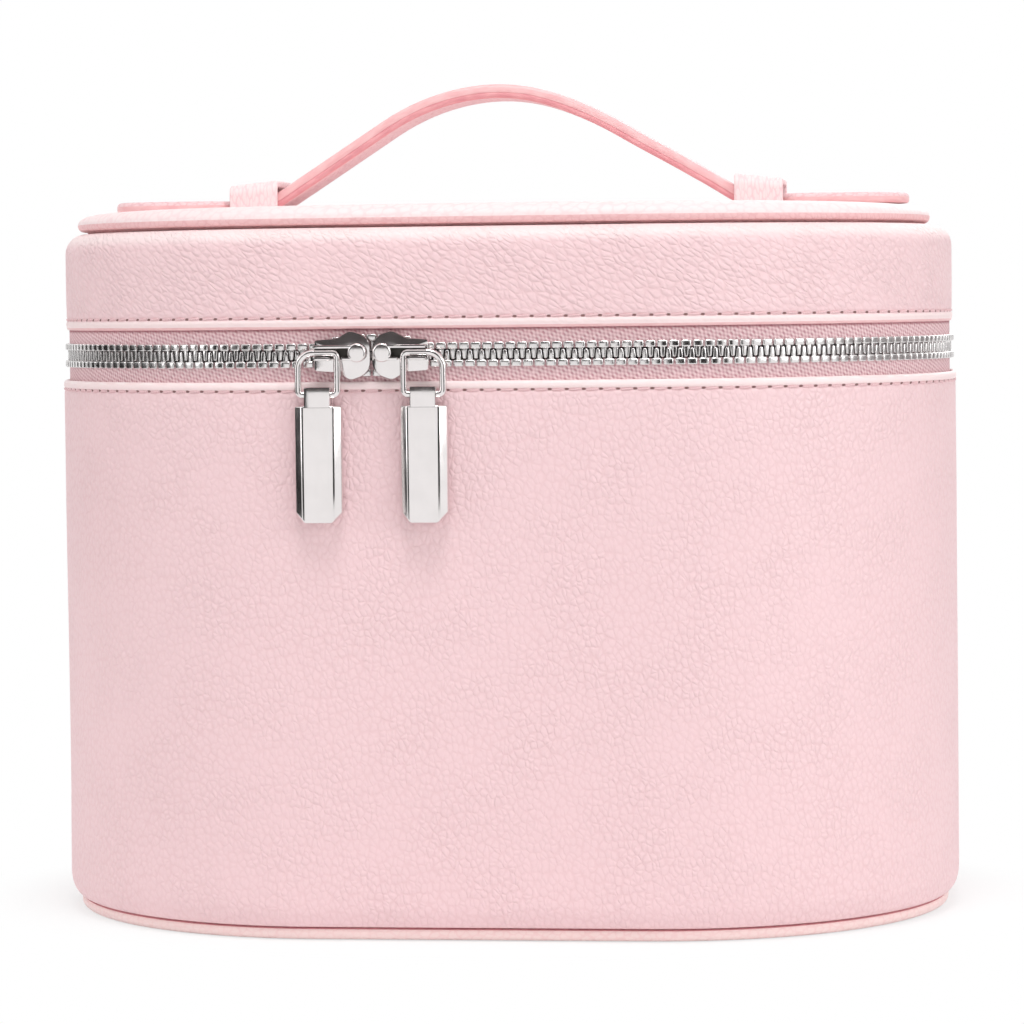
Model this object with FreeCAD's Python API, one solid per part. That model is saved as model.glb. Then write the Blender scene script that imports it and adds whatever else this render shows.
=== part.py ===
import FreeCAD, Part
import math
import os

# Makeup train case: a zip-round box with a hinged lid and a sliding strap handle.
# Millimetres, +Z up, the front faces -Y, the origin is the middle of the underside.

Vector = FreeCAD.Vector
UP = Vector(0, 0, 1)

# How far a cutting shape runs past the face it cuts
PAST = 1.0

# Case sizes
WIDTH = 210.0
DEPTH = 150.0
SIDE_FLAT = 14.0
BASE_THICKNESS = 2.8
BODY_HEIGHT = 121.0
ZIP_GAP = 11.6
LID_HEIGHT = 22.4
TOP_PAD = 5.4
DOME_RADIUS = 3000.0
FOOT_RADIUS = 3.0
SHOULDER_RADIUS = 4.5
BASE_INSET = 2.5
BASE_EDGE_RADIUS = 1.8
TOP_INSET = 3.0
TOP_EDGE_RADIUS = 3.0
FLANGE = 8.0

# Layers of the walls
LEATHER = 1.3
BOARD = 2.0
LINING = 0.8
TAPE = 0.8
GLUE = 0.1
TAPE_PLAY = 0.05
TAPE_SEAM = 10.0
BOARD_SETBACK = 0.3
LINING_SETBACK = 1.5

# Zip chain
TOOTH_PITCH = 2.56
TOOTH_DEPTH = 2.8
TOOTH_ROOT = 2.75
TOOTH_REACH = 1.0
TOOTH_WAIST = 1.4
TOOTH_ROOT_WIDTH = 1.5
TOOTH_TIP_WIDTH = 0.76
TAPE_TO_MIDDLE = 2.0
STOP_LENGTH = 2.2
STOP_SPACE = 0.5

# Sliders, bails and pulls
SLIDER_MARGIN = 2.0
SLIDER_LENGTH = 12.5
SLIDER_HEAD = 11.0
SLIDER_TAIL = 6.8
SLIDER_NOSE = 3.5
SLIDER_WAIST = 7.5
SLIDER_PLATE = 1.0
SLIDER_LIP = 0.5
SLIDER_LIP_LENGTH = 6.0
NOSE_GAP = 0.4
SLIDER_PLAY = 0.35
POST_HEIGHT = 1.2
POST_LENGTH = 2.6
LUG_WIDTH = 3.8
LUG_WALL = 0.9
LUG_SHIFT = 0.8
BOSS_DIAMETER = 4.2
BOSS_ROUND = 0.45
WIRE = 1.6
PIN_PLAY = 0.05
BAIL_RAISE = 0.6
BAIL_SETBACK = 1.0
BAIL_WIDTH = 8.7
BAIL_DROP = 9.2
BAIL_OUTER_BEND = 3.4
BAIL_INNER_BEND = 1.0
PULL_WIDTH = 10.6
PULL_FACE = 7.0
PULL_LENGTH = 28.2
PULL_THICKNESS = 3.0
PULL_EDGE = 1.0
PULL_NECK = 5.3
NECK_SETBACK = 0.5
PIN_GAP = 2.6
PULL_SHOULDER = 2.4
PULL_CORNER = 1.6

# Hinge at the back
HINGE_WIDTH = 64.0
HINGE_HEIGHT = 46.0
HINGE_LEATHER = 1.2
HINGE_CORNER = 6.0
HINGE_SPACE = 1.0
GUSSET_HEIGHT = 35.0

# Handle
STRAP_WIDTH = 18.0
STRAP = 3.2
ARCH_RISE = 26.1
RAMP_ANGLE = 33.0
STRAP_BEND = 10.0
BEND_IN_KEEPER = 1.5
SPLIT_IN_KEEPER = 6.4
STRAP_LIFT = 0.3
SPLIT_GAP = 0.2
TAB_MARGIN = 10.5
TAB_LENGTH = 26.2
TAB_WIDTH = 25.0
TAB = 2.5
KEEPER_TO_TAB = 2.9
KEEPER_LENGTH = 11.4
KEEPER_HEIGHT = 6.7
KEEPER_LEATHER = 1.5
KEEPER_PLAY = 0.5

# Mirror in the lid
MIRROR_WIDTH = 120.0
MIRROR_DEPTH = 76.0
MIRROR = 2.0
FRAME_WIDTH = 7.0
FRAME_LIP = 3.0

# Places along the handle, from the middle
TAB_END_X = WIDTH / 2 - TAB_MARGIN
TAB_SHOULDER_X = TAB_END_X - TAB_LENGTH
KEEPER_OUTER_X = TAB_SHOULDER_X - KEEPER_TO_TAB
KEEPER_INNER_X = KEEPER_OUTER_X - KEEPER_LENGTH
STRAP_BEND_X = KEEPER_INNER_X + BEND_IN_KEEPER
STRAP_SPLIT_X = KEEPER_INNER_X + SPLIT_IN_KEEPER

# Levels
RIM_Z = BASE_THICKNESS + BODY_HEIGHT
LID_EDGE_Z = RIM_Z + ZIP_GAP
ZIP_Z = RIM_Z + ZIP_GAP / 2
SEAM_Z = LID_EDGE_Z + LID_HEIGHT
CROWN_Z = SEAM_Z + TOP_PAD
TOP_BOARD_Z = SEAM_Z - LEATHER - GLUE
TOP_LINING_Z = TOP_BOARD_Z - BOARD - GLUE
MIRROR_Z = TOP_LINING_Z - LINING - GLUE
FLOOR_BOARD_Z = BASE_THICKNESS + LEATHER + GLUE
FLOOR_LINING_Z = FLOOR_BOARD_Z + BOARD + GLUE
STRAP_Z = CROWN_Z - KEEPER_INNER_X**2 / (2 * DOME_RADIUS) + STRAP_LIFT

# Depths of the layers behind the outer face
BOARD_OUT = LEATHER + GLUE
BOARD_IN = BOARD_OUT + BOARD
LINING_OUT = BOARD_IN + GLUE
LINING_IN = LINING_OUT + LINING
TAPE_OUT = LEATHER + TAPE_PLAY
TAPE_IN = TAPE_OUT + TAPE
TAPE_MIDDLE = (TAPE_OUT + TAPE_IN) / 2
REBATE = TAPE_IN + TAPE_PLAY

CORNER_RADIUS = (DEPTH - SIDE_FLAT) / 2
FRONT_FLAT = WIDTH - 2 * CORNER_RADIUS
TAPE_END_X = HINGE_WIDTH / 2 + HINGE_SPACE
SLIDER_MEET_X = SLIDER_MARGIN + SLIDER_LENGTH + NOSE_GAP / 2 - FRONT_FLAT / 2


def save(shape, name):
    shape.exportStep(os.path.join("parts", name + ".step"))


def mirrored(shape):
    return shape.mirror(Vector(0, 0, 0), Vector(1, 0, 0))


def box(low, high):
    size = high - low
    return Part.makeBox(size.x, size.y, size.z, low)


def rod(radius, length, start):
    """Round bar along the width, from its left end."""
    return Part.makeCylinder(radius, length, start, Vector(1, 0, 0))


def outline(inset, z):
    """Plan outline of the case, set in from the outer face."""
    r = CORNER_RADIUS - inset
    x, y = FRONT_FLAT / 2, SIDE_FLAT / 2
    edges = []
    for sx, sy in ((1, -1), (1, 1), (-1, 1), (-1, -1)):
        start, end = (x * sx, (y + r) * sy), ((x + r) * sx, y * sy)
        middle = ((x + r * math.sqrt(0.5)) * sx, (y + r * math.sqrt(0.5)) * sy)
        if sx * sy > 0:
            start, end = end, start
        edges.append(Part.Arc(*(Vector(a, b, z) for a, b in (start, middle, end))).toShape())
    ends = [(e.valueAt(e.FirstParameter), e.valueAt(e.LastParameter)) for e in edges]
    for i in range(4):
        edges.append(Part.makeLine(ends[i][1], ends[(i + 1) % 4][0]))
    return Part.Wire(Part.__sortEdges__(edges))


def prism(inset, z_low, z_high):
    return Part.Face(outline(inset, z_low)).extrude(UP * (z_high - z_low))


def ring(outer_inset, inner_inset, z_low, z_high):
    wires = [outline(outer_inset, z_low), outline(inner_inset, z_low)]
    return Part.makeFace(wires, "Part::FaceMakerBullseye").extrude(UP * (z_high - z_low))


def rolled(inset, z_square, z_rolled, radius):
    """Block of the case's plan with the edge at z_rolled rounded over."""
    block = prism(inset, min(z_square, z_rolled), max(z_square, z_rolled))
    edges = [e for e in block.Edges if all(abs(v.Z - z_rolled) < 1e-6 for v in e.Vertexes)]
    return block.makeFillet(radius, edges)


def wrapped_wall(z_open, z_rolled, radius):
    """Leather wall, open at one edge, rolled over and turned in by a flange at the other."""
    way = 1 if z_rolled > z_open else -1
    wall = rolled(0, z_open, z_rolled, radius)
    hollow = rolled(LEATHER, z_open - way * PAST, z_rolled - way * LEATHER, radius - LEATHER)
    low, high = sorted((z_open, z_rolled))
    return wall.cut([hollow, prism(FLANGE, low - PAST, high + PAST)])


def rounded_path(points, radii):
    """Straight stretches between the points, with an arc of the given radius at each inner point."""
    edges, start = [], points[0]
    for before, corner, after, radius in zip(points, points[1:], points[2:], radii):
        back, ahead = (before - corner).normalize(), (after - corner).normalize()
        half = back.getAngle(ahead) / 2
        reach = radius / math.tan(half)
        inward = (back + ahead).normalize()
        middle = corner + inward * (radius / math.sin(half) - radius)
        edges.append(Part.makeLine(start, corner + back * reach))
        edges.append(Part.Arc(corner + back * reach, middle, corner + ahead * reach).toShape())
        start = corner + ahead * reach
    edges.append(Part.makeLine(start, points[-1]))
    return Part.Wire(edges)


def plate(points, lift):
    """Flat plate of a polygon, thickened along a vector."""
    return Part.Face(Part.makePolygon(points + points[:1])).extrude(lift)


# Body


def body_cover():
    return wrapped_wall(RIM_Z, BASE_THICKNESS, FOOT_RADIUS)


def base_cover():
    return rolled(BASE_INSET, BASE_THICKNESS - GLUE, 0, BASE_EDGE_RADIUS)


def body_board():
    low = BASE_THICKNESS + FOOT_RADIUS + GLUE
    step = RIM_Z - TAPE_SEAM - BOARD_SETBACK
    wall = ring(BOARD_OUT, BOARD_IN, low, step)
    return wall.fuse(ring(REBATE, BOARD_IN, step, RIM_Z - BOARD_SETBACK)).removeSplitter()


def body_lining():
    return ring(LINING_OUT, LINING_IN, FLOOR_LINING_Z, RIM_Z - LINING_SETBACK)


def base_board():
    return prism(LINING_OUT, FLOOR_BOARD_Z, FLOOR_BOARD_Z + BOARD)


def base_lining():
    return prism(LINING_IN + GLUE, FLOOR_LINING_Z, FLOOR_LINING_Z + LINING)


# Lid


def lid_cover():
    return wrapped_wall(LID_EDGE_Z, SEAM_Z, SHOULDER_RADIUS)


def lid_wall_board():
    step = LID_EDGE_Z + TAPE_SEAM + BOARD_SETBACK
    wall = ring(BOARD_OUT, BOARD_IN, step, SEAM_Z - SHOULDER_RADIUS - GLUE)
    return wall.fuse(ring(REBATE, BOARD_IN, LID_EDGE_Z + BOARD_SETBACK, step)).removeSplitter()


def lid_wall_lining():
    return ring(LINING_OUT, LINING_IN, LID_EDGE_Z + LINING_SETBACK, TOP_LINING_Z)


def lid_top_board():
    return prism(SHOULDER_RADIUS + GLUE, TOP_BOARD_Z - BOARD, TOP_BOARD_Z)


def lid_top_lining():
    return prism(LINING_IN + GLUE, TOP_LINING_Z - LINING, TOP_LINING_Z)


def cushion(inset, z_low, crown, edge_radius):
    """Pad of the case's plan with a rounded edge and a slightly domed top."""
    ball = Part.makeSphere(DOME_RADIUS, Vector(0, 0, crown - DOME_RADIUS), Vector(0, 1, 0))
    return rolled(inset, z_low, crown, edge_radius).common(ball)


def keeper_slits():
    """Room for the keepers' legs, from the top board up through the top panel."""
    outer = STRAP_WIDTH / 2 + KEEPER_PLAY + KEEPER_LEATHER + GLUE
    inner = STRAP_WIDTH / 2 + KEEPER_PLAY - GLUE
    near, far = KEEPER_INNER_X - GLUE, KEEPER_OUTER_X + GLUE
    z_low, z_high = TOP_BOARD_Z - PAST, CROWN_Z + PAST
    slits = []
    for left, right in ((-far, -near), (near, far)):
        for low, high in ((-outer, -inner), (inner, outer)):
            slits.append(box(Vector(left, low, z_low), Vector(right, high, z_high)))
    return slits


def lid_top_panel():
    seat = SEAM_Z + GLUE
    hollow = cushion(TOP_INSET + LEATHER, seat - PAST, CROWN_Z - LEATHER, TOP_EDGE_RADIUS - LEATHER)
    skin = cushion(TOP_INSET, seat, CROWN_Z, TOP_EDGE_RADIUS).cut(hollow)
    return skin.cut(keeper_slits())


def lid_top_foam():
    gap = LEATHER + GLUE
    seat = SEAM_Z + GLUE
    pad = cushion(TOP_INSET + gap, seat, CROWN_Z - gap, TOP_EDGE_RADIUS - LEATHER)
    plug = prism(FLANGE + GLUE, TOP_BOARD_Z + GLUE, seat)
    return pad.fuse(plug).removeSplitter().cut(keeper_slits())


def keeper():
    """Leather loop over the right end of the strap, its legs let into the top panel."""
    inner = STRAP_WIDTH / 2 + KEEPER_PLAY
    outer = inner + KEEPER_LEATHER
    top = STRAP_Z + KEEPER_HEIGHT
    foot = TOP_BOARD_Z + GLUE
    left, right = KEEPER_INNER_X, KEEPER_OUTER_X
    loop = box(Vector(left, -outer, foot), Vector(right, outer, top))
    crests = [e for e in loop.Edges if all(abs(v.Z - top) < 1e-6 for v in e.Vertexes)]
    crests = [e for e in crests if abs(e.Vertexes[0].Y - e.Vertexes[1].Y) < 1e-6]
    loop = loop.makeFillet(KEEPER_LEATHER, crests)
    window_low = Vector(left - PAST, -inner, foot - PAST)
    window_high = Vector(right + PAST, inner, top - KEEPER_LEATHER)
    return loop.cut(box(window_low, window_high))


# Mirror


def lid_mirror():
    half_w, half_d = MIRROR_WIDTH / 2, MIRROR_DEPTH / 2
    return box(Vector(-half_w, -half_d, MIRROR_Z - MIRROR), Vector(half_w, half_d, MIRROR_Z))


def mirror_frame():
    half_w, half_d = MIRROR_WIDTH / 2 + GLUE, MIRROR_DEPTH / 2 + GLUE
    low = MIRROR_Z - MIRROR - GLUE - LINING
    edge = FRAME_WIDTH - FRAME_LIP
    reach_w, reach_d = half_w + edge, half_d + edge
    frame = box(Vector(-reach_w, -reach_d, low), Vector(reach_w, reach_d, MIRROR_Z))
    corners = [e for e in frame.Edges if abs(e.Vertexes[0].Z - e.Vertexes[1].Z) > 1e-6]
    frame = frame.makeFillet(edge, corners)
    lip_w, lip_d = half_w - FRAME_LIP, half_d - FRAME_LIP
    seat = MIRROR_Z - MIRROR - GLUE
    frame = frame.cut(box(Vector(-half_w, -half_d, seat), Vector(half_w, half_d, MIRROR_Z)))
    return frame.cut(box(Vector(-lip_w, -lip_d, low - PAST), Vector(lip_w, lip_d, MIRROR_Z)))


# Zip


def zip_tape(z_low, z_high):
    back = box(Vector(-TAPE_END_X, 0, z_low - PAST), Vector(TAPE_END_X, DEPTH, z_high + PAST))
    return ring(TAPE_OUT, TAPE_IN, z_low, z_high).cut(back)


def chain_place(distance):
    """Point on the tape's middle plane and the tape's turn there, a distance round from the front."""
    r = CORNER_RADIUS - TAPE_MIDDLE
    x, y = FRONT_FLAT / 2, SIDE_FLAT / 2
    corner = r * math.pi / 2
    side = 1 if distance > 0 else -1
    way = abs(distance)
    if way <= x:
        px, py, turn = way, -y - r, 0.0
    elif way <= x + corner:
        turn = (way - x) / r
        px, py = x + r * math.sin(turn), -y - r * math.cos(turn)
    elif way <= x + corner + SIDE_FLAT:
        px, py, turn = x + r, way - x - corner - y, math.pi / 2
    elif way <= x + 2 * corner + SIDE_FLAT:
        turn = math.pi / 2 + (way - x - corner - SIDE_FLAT) / r
        px, py = x + r * math.sin(turn), y - r * math.cos(turn)
    else:
        px, py, turn = 2 * (x + corner) + SIDE_FLAT - way, y + r, math.pi
    return Vector(side * px, py, ZIP_Z), side * math.degrees(turn)


# Ways round the tape from the front's middle to the hinge, the end stops and the last teeth
TAPE_HALF = FRONT_FLAT + SIDE_FLAT + math.pi * (CORNER_RADIUS - TAPE_MIDDLE) - TAPE_END_X
STOP_WAY = TAPE_HALF - STOP_SPACE - STOP_LENGTH / 2
CHAIN_HALF = STOP_WAY - STOP_LENGTH / 2 - STOP_SPACE - TOOTH_ROOT_WIDTH / 2


def clamp(length, low, high, slot_top):
    """Block gripping the tape from both sides, open below."""
    half = TOOTH_DEPTH / 2
    slot = TAPE / 2 + TAPE_PLAY
    body = box(Vector(-length / 2, -half, low), Vector(length / 2, half, high))
    return body.cut(box(Vector(-length, -slot, low - PAST), Vector(length, slot, slot_top)))


def tooth():
    """One tooth of the lower row: two legs gripping the tape and a tapered head."""
    half, tip = TOOTH_ROOT_WIDTH / 2, TOOTH_TIP_WIDTH / 2
    right = [(half, -TOOTH_ROOT), (half, -TOOTH_WAIST), (tip, TOOTH_REACH)]
    left = [(-x, z) for x, z in reversed(right)]
    points = [Vector(x, -TOOTH_DEPTH / 2, z) for x, z in right + left]
    grip = clamp(2 * TOOTH_ROOT_WIDTH, -TOOTH_ROOT, TOOTH_REACH, 0)
    return plate(points, Vector(0, TOOTH_DEPTH, 0)).common(grip)


def parting(x):
    """How far each row stands back from the middle, round the posts of the two sliders."""
    full = TOOTH_REACH + POST_HEIGHT / 2 + SLIDER_PLAY
    flat = POST_LENGTH + TOOTH_PITCH
    way = (SLIDER_LENGTH - abs(x - SLIDER_MEET_X)) / (SLIDER_LENGTH - flat)
    t = min(max(way, 0.0), 1.0)
    return full * t * t * (3 - 2 * t)


def placed(shape, point, turn, upper):
    """The shape set on the tape, turned over for the upper row."""
    copy = shape.copy()
    if upper:
        copy.rotate(Vector(0, 0, 0), Vector(0, 1, 0), 180)
    copy.rotate(Vector(0, 0, 0), UP, turn)
    copy.translate(point)
    return copy


def teeth_row(upper):
    one = tooth()
    steps = int(CHAIN_HALF / TOOTH_PITCH)
    shift = 0.25 if upper else -0.25
    row = []
    for i in range(1 - steps, steps):
        point, turn = chain_place((i + shift) * TOOTH_PITCH)
        if point.y < 0 and abs(point.x) < FRONT_FLAT / 2:
            point.z += parting(point.x) * (1 if upper else -1)
        row.append(placed(one, point, turn, upper))
    return Part.Compound(row)


def end_stops(upper):
    stop = clamp(STOP_LENGTH, -TOOTH_ROOT, -STOP_SPACE, GLUE - TAPE_TO_MIDDLE)
    return Part.Compound([placed(stop, *chain_place(way), upper) for way in (-STOP_WAY, STOP_WAY)])


# Sliders, bails and pulls, drawn for the right-hand one with its nose at x = 0

PLATE_FRONT_Y = -DEPTH / 2 - SLIDER_PLAY
PLATE_BACK_Y = -DEPTH / 2 + TAPE_MIDDLE + TOOTH_DEPTH / 2 + SLIDER_PLAY
BAIL_Y = PLATE_FRONT_Y - SLIDER_PLATE - SLIDER_PLAY - WIRE / 2
BAIL_Z = ZIP_Z + BAIL_RAISE
BAIL_X = SLIDER_LENGTH - BAIL_SETBACK
PIN_Z = BAIL_Z - BAIL_DROP


def slider_face(y):
    """Outline of a slider plate: round nose, shoulders, slim tail."""
    lower = [(SLIDER_NOSE, SLIDER_HEAD), (SLIDER_WAIST, SLIDER_TAIL), (SLIDER_LENGTH, SLIDER_TAIL)]
    flank = [Vector(x, y, ZIP_Z - height / 2) for x, height in lower]
    flank += [Vector(x, y, ZIP_Z + height / 2) for x, height in reversed(lower)]
    nose = Part.Arc(flank[-1], Vector(0, y, ZIP_Z), flank[0]).toShape()
    return Part.Face(Part.Wire([nose] + Part.makePolygon(flank).Edges))


def slider():
    thick = Vector(0, -SLIDER_PLATE, 0)
    front = slider_face(PLATE_FRONT_Y).extrude(thick)
    back = slider_face(PLATE_BACK_Y).extrude(-thick)
    post_low = Vector(SLIDER_PLAY, PLATE_FRONT_Y - SLIDER_PLATE / 2, ZIP_Z - POST_HEIGHT / 2)
    post_high = Vector(POST_LENGTH, PLATE_BACK_Y + SLIDER_PLATE / 2, ZIP_Z + POST_HEIGHT / 2)
    flange_z = ZIP_Z - SLIDER_HEAD / 2
    flange = slider_face(PLATE_FRONT_Y).extrude(Vector(0, SLIDER_PLATE, 0))
    lip_high = Vector(SLIDER_LIP_LENGTH, 0, flange_z + SLIDER_LIP)
    flange = flange.common(box(Vector(0, -DEPTH, flange_z), lip_high))

    bore = WIRE / 2 + PIN_PLAY
    lug_half = bore + LUG_WALL
    lug_front = BAIL_Y - lug_half
    lug_left, lug_right = BAIL_X + LUG_SHIFT - LUG_WIDTH, BAIL_X + LUG_SHIFT
    root_y = PLATE_FRONT_Y - SLIDER_PLATE / 2
    lug = rod(lug_half, LUG_WIDTH, Vector(lug_left, BAIL_Y, BAIL_Z))
    lug_low = Vector(lug_left, BAIL_Y, BAIL_Z - lug_half)
    lug = lug.fuse(box(lug_low, Vector(lug_right, root_y, BAIL_Z + lug_half)))
    boss_foot = Vector(POST_LENGTH, root_y, BAIL_Z)
    boss = Part.makeCylinder(BOSS_DIAMETER / 2, root_y - lug_front, boss_foot, Vector(0, -1, 0))
    rim = [e for e in boss.Edges if e.Closed and abs(e.CenterOfMass.y - lug_front) < 1e-6]
    boss = boss.makeFillet(BOSS_ROUND, rim)
    rib_z = BAIL_Z + lug_half
    rib_low = Vector(POST_LENGTH, lug_front + LUG_WALL, rib_z - SLIDER_LIP)
    rib = box(rib_low, Vector(lug_left + LUG_WIDTH / 2, root_y, rib_z))

    whole = front.fuse([back, box(post_low, post_high), flange, lug, boss, rib]).removeSplitter()
    return whole.cut(rod(bore, 2 * LUG_WIDTH, Vector(lug_left - LUG_WIDTH / 2, BAIL_Y, BAIL_Z)))


def bail():
    """Wire loop through the slider's lug, its ends turned in to carry the pull."""
    inner_x, outer_x = BAIL_X - BAIL_WIDTH / 2, BAIL_X + BAIL_WIDTH / 2
    pin = (BAIL_WIDTH - PIN_GAP) / 2
    corners = [
        (inner_x + pin, PIN_Z),
        (inner_x, PIN_Z),
        (inner_x, BAIL_Z),
        (outer_x, BAIL_Z),
        (outer_x, PIN_Z),
        (outer_x - pin, PIN_Z),
    ]
    bends = [BAIL_INNER_BEND, BAIL_INNER_BEND, BAIL_OUTER_BEND, BAIL_INNER_BEND]
    path = rounded_path([Vector(x, BAIL_Y, z) for x, z in corners], bends)
    start = Vector(inner_x + pin, BAIL_Y, PIN_Z)
    section = Part.Wire(Part.makeCircle(WIRE / 2, start, Vector(1, 0, 0)))
    return path.makePipeShell([section], True, True)


def pull_outline(half, shoulder_z, end_z, corner, y):
    points = [(-half, shoulder_z - corner), (-half + corner, shoulder_z), (half - corner, shoulder_z)]
    points += [(half, shoulder_z - corner), (half, end_z + corner), (half - corner, end_z)]
    points += [(-half + corner, end_z), (-half, end_z + corner)]
    return [Vector(BAIL_X + x, y, z) for x, z in points]


def pull_tab():
    """Bar with a bevelled face, a neck at its head and a cross hole for the bail's ends."""
    back = BAIL_Y + PULL_THICKNESS / 2
    step = back - PULL_EDGE
    front = back - PULL_THICKNESS
    shoulder, end = PIN_Z - PULL_SHOULDER, PIN_Z - PULL_LENGTH
    bevel = (PULL_WIDTH - PULL_FACE) / 2
    wide = pull_outline(PULL_WIDTH / 2, shoulder, end, PULL_CORNER, step)
    slim = pull_outline(PULL_FACE / 2, shoulder - bevel, end + bevel, PULL_CORNER, front)
    slab = plate(wide, Vector(0, back - step, 0))
    face = Part.makeLoft([Part.makePolygon(p + p[:1]) for p in (wide, slim)], True, True)
    head = PIN_Z + WIRE / 2 + LUG_WALL
    neck_low = Vector(BAIL_X - PULL_NECK / 2, front + NECK_SETBACK, shoulder - bevel)
    neck = box(neck_low, Vector(BAIL_X + PULL_NECK / 2, back, head))
    hole = rod(WIRE / 2 + PIN_PLAY, PULL_WIDTH, Vector(BAIL_X - PULL_WIDTH / 2, BAIL_Y, PIN_Z))
    return slab.fuse([face, neck]).removeSplitter().cut(hole)


def on_right(shape):
    return shape.translated(Vector(SLIDER_MEET_X + NOSE_GAP / 2, 0, 0))


def on_left(shape):
    return mirrored(shape).translated(Vector(SLIDER_MEET_X - NOSE_GAP / 2, 0, 0))


# Hinge


def hinge_strip(outer_inset, thickness, height):
    """Round-cornered strip of a ring round the case, over the middle of its back."""
    low, high = ZIP_Z - height / 2, ZIP_Z + height / 2
    window = box(Vector(-HINGE_WIDTH / 2, 0, low), Vector(HINGE_WIDTH / 2, DEPTH, high))
    corners = [e for e in window.Edges if abs(e.Vertexes[0].Y - e.Vertexes[1].Y) > 1e-6]
    window = window.makeFillet(HINGE_CORNER, corners)
    return ring(outer_inset, outer_inset + thickness, low, high).common(window)


def hinge_panel():
    return hinge_strip(-GLUE - HINGE_LEATHER, HINGE_LEATHER, HINGE_HEIGHT)


def hinge_gusset():
    return hinge_strip(LINING_IN + GLUE, LINING, GUSSET_HEIGHT)


# Handle


def handle_strap():
    """Arch between the keepers: flat ends, straight ramps and a round crown."""
    angle = math.radians(RAMP_ANGLE)
    middle = STRAP_Z + STRAP / 2
    peak = STRAP_BEND_X * math.tan(angle)
    crown_radius = (peak - ARCH_RISE) / (1 / math.cos(angle) - 1)
    end = STRAP_SPLIT_X - SPLIT_GAP
    corners = [(-end, 0), (-STRAP_BEND_X, 0), (0, peak), (STRAP_BEND_X, 0), (end, 0)]
    bends = [STRAP_BEND, crown_radius, STRAP_BEND]
    path = rounded_path([Vector(x, 0, middle + z) for x, z in corners], bends)
    half_w, half_t = STRAP_WIDTH / 2, STRAP / 2
    section = [(-half_w, -half_t), (half_w, -half_t), (half_w, half_t), (-half_w, half_t)]
    wire = Part.makePolygon([Vector(-end, y, middle + z) for y, z in section + section[:1]])
    return path.makePipeShell([wire], True, False)


def handle_tab():
    """Right end of the strap: it runs through the keeper and flares into a round-ended tab."""
    half = TAB_WIDTH / 2
    neck_low = Vector(STRAP_SPLIT_X, -STRAP_WIDTH / 2, STRAP_Z)
    neck = box(neck_low, Vector(TAB_SHOULDER_X + TAB, STRAP_WIDTH / 2, STRAP_Z + TAB))
    centre = Vector(TAB_END_X - half, 0, STRAP_Z)
    flare = box(Vector(TAB_SHOULDER_X, -half, STRAP_Z), Vector(centre.x, half, STRAP_Z + TAB))
    return neck.fuse([flare, Part.makeCylinder(half, TAB, centre)]).removeSplitter()


os.makedirs("parts", exist_ok=True)

for make in (body_cover, body_board, body_lining, base_cover, base_board, base_lining):
    save(make(), make.__name__)
for make in (lid_cover, lid_wall_board, lid_wall_lining, lid_top_panel, lid_top_foam, lid_top_board):
    save(make(), make.__name__)
for make in (lid_top_lining, lid_mirror, mirror_frame, hinge_panel, hinge_gusset, handle_strap):
    save(make(), make.__name__)

save(zip_tape(RIM_Z - TAPE_SEAM, ZIP_Z - TAPE_TO_MIDDLE), "zip_tape_lower")
save(zip_tape(ZIP_Z + TAPE_TO_MIDDLE, LID_EDGE_Z + TAPE_SEAM), "zip_tape_upper")
save(teeth_row(False), "zip_teeth_lower")
save(teeth_row(True), "zip_teeth_upper")
save(end_stops(False), "zip_stops_lower")
save(end_stops(True), "zip_stops_upper")

for make, name in ((slider, "zip_slider"), (bail, "pull_bail"), (pull_tab, "pull_tab")):
    save(on_left(make()), name + "_left")
    save(on_right(make()), name + "_right")
for make in (keeper, handle_tab):
    save(mirrored(make()), make.__name__ + "_left")
    save(make(), make.__name__ + "_right")
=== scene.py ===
import math

import bmesh
import bpy
from mathutils import Matrix, Vector, noise


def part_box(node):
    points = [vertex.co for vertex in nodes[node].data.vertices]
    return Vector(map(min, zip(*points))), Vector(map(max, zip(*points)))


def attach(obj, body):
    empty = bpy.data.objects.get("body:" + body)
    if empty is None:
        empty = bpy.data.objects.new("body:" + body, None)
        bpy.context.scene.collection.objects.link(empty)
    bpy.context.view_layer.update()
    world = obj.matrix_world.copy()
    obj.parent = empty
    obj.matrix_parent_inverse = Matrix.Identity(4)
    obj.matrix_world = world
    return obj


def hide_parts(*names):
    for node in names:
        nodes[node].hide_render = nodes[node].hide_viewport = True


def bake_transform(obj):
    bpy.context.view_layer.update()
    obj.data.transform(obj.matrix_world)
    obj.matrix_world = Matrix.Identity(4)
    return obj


# Makeup train case: pebbled leather, zip, hinge, handle and mirror, dressed over the solid model.
# Metres, +Z up, the front faces -Y, the origin is the middle of the underside.

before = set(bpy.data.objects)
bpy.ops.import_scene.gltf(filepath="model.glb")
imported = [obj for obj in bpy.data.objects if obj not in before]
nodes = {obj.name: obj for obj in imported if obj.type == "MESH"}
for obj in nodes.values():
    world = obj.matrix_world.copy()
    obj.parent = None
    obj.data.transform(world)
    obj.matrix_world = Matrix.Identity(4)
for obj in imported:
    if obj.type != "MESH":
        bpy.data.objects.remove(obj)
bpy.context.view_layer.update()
scene = bpy.context.scene

MM = 0.001

# Levels and widths, read from the solid model
BODY_LOW, BODY_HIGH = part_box("body_cover")
LID_LOW, LID_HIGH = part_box("lid_cover")
TOP_LOW, TOP_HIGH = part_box("lid_top_panel")
RIM_Z = BODY_HIGH.z
LID_EDGE_Z = LID_LOW.z
ZIP_Z = (RIM_Z + LID_EDGE_Z) / 2
WIDTH = BODY_HIGH.x - BODY_LOW.x
DEPTH = BODY_HIGH.y - BODY_LOW.y

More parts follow.
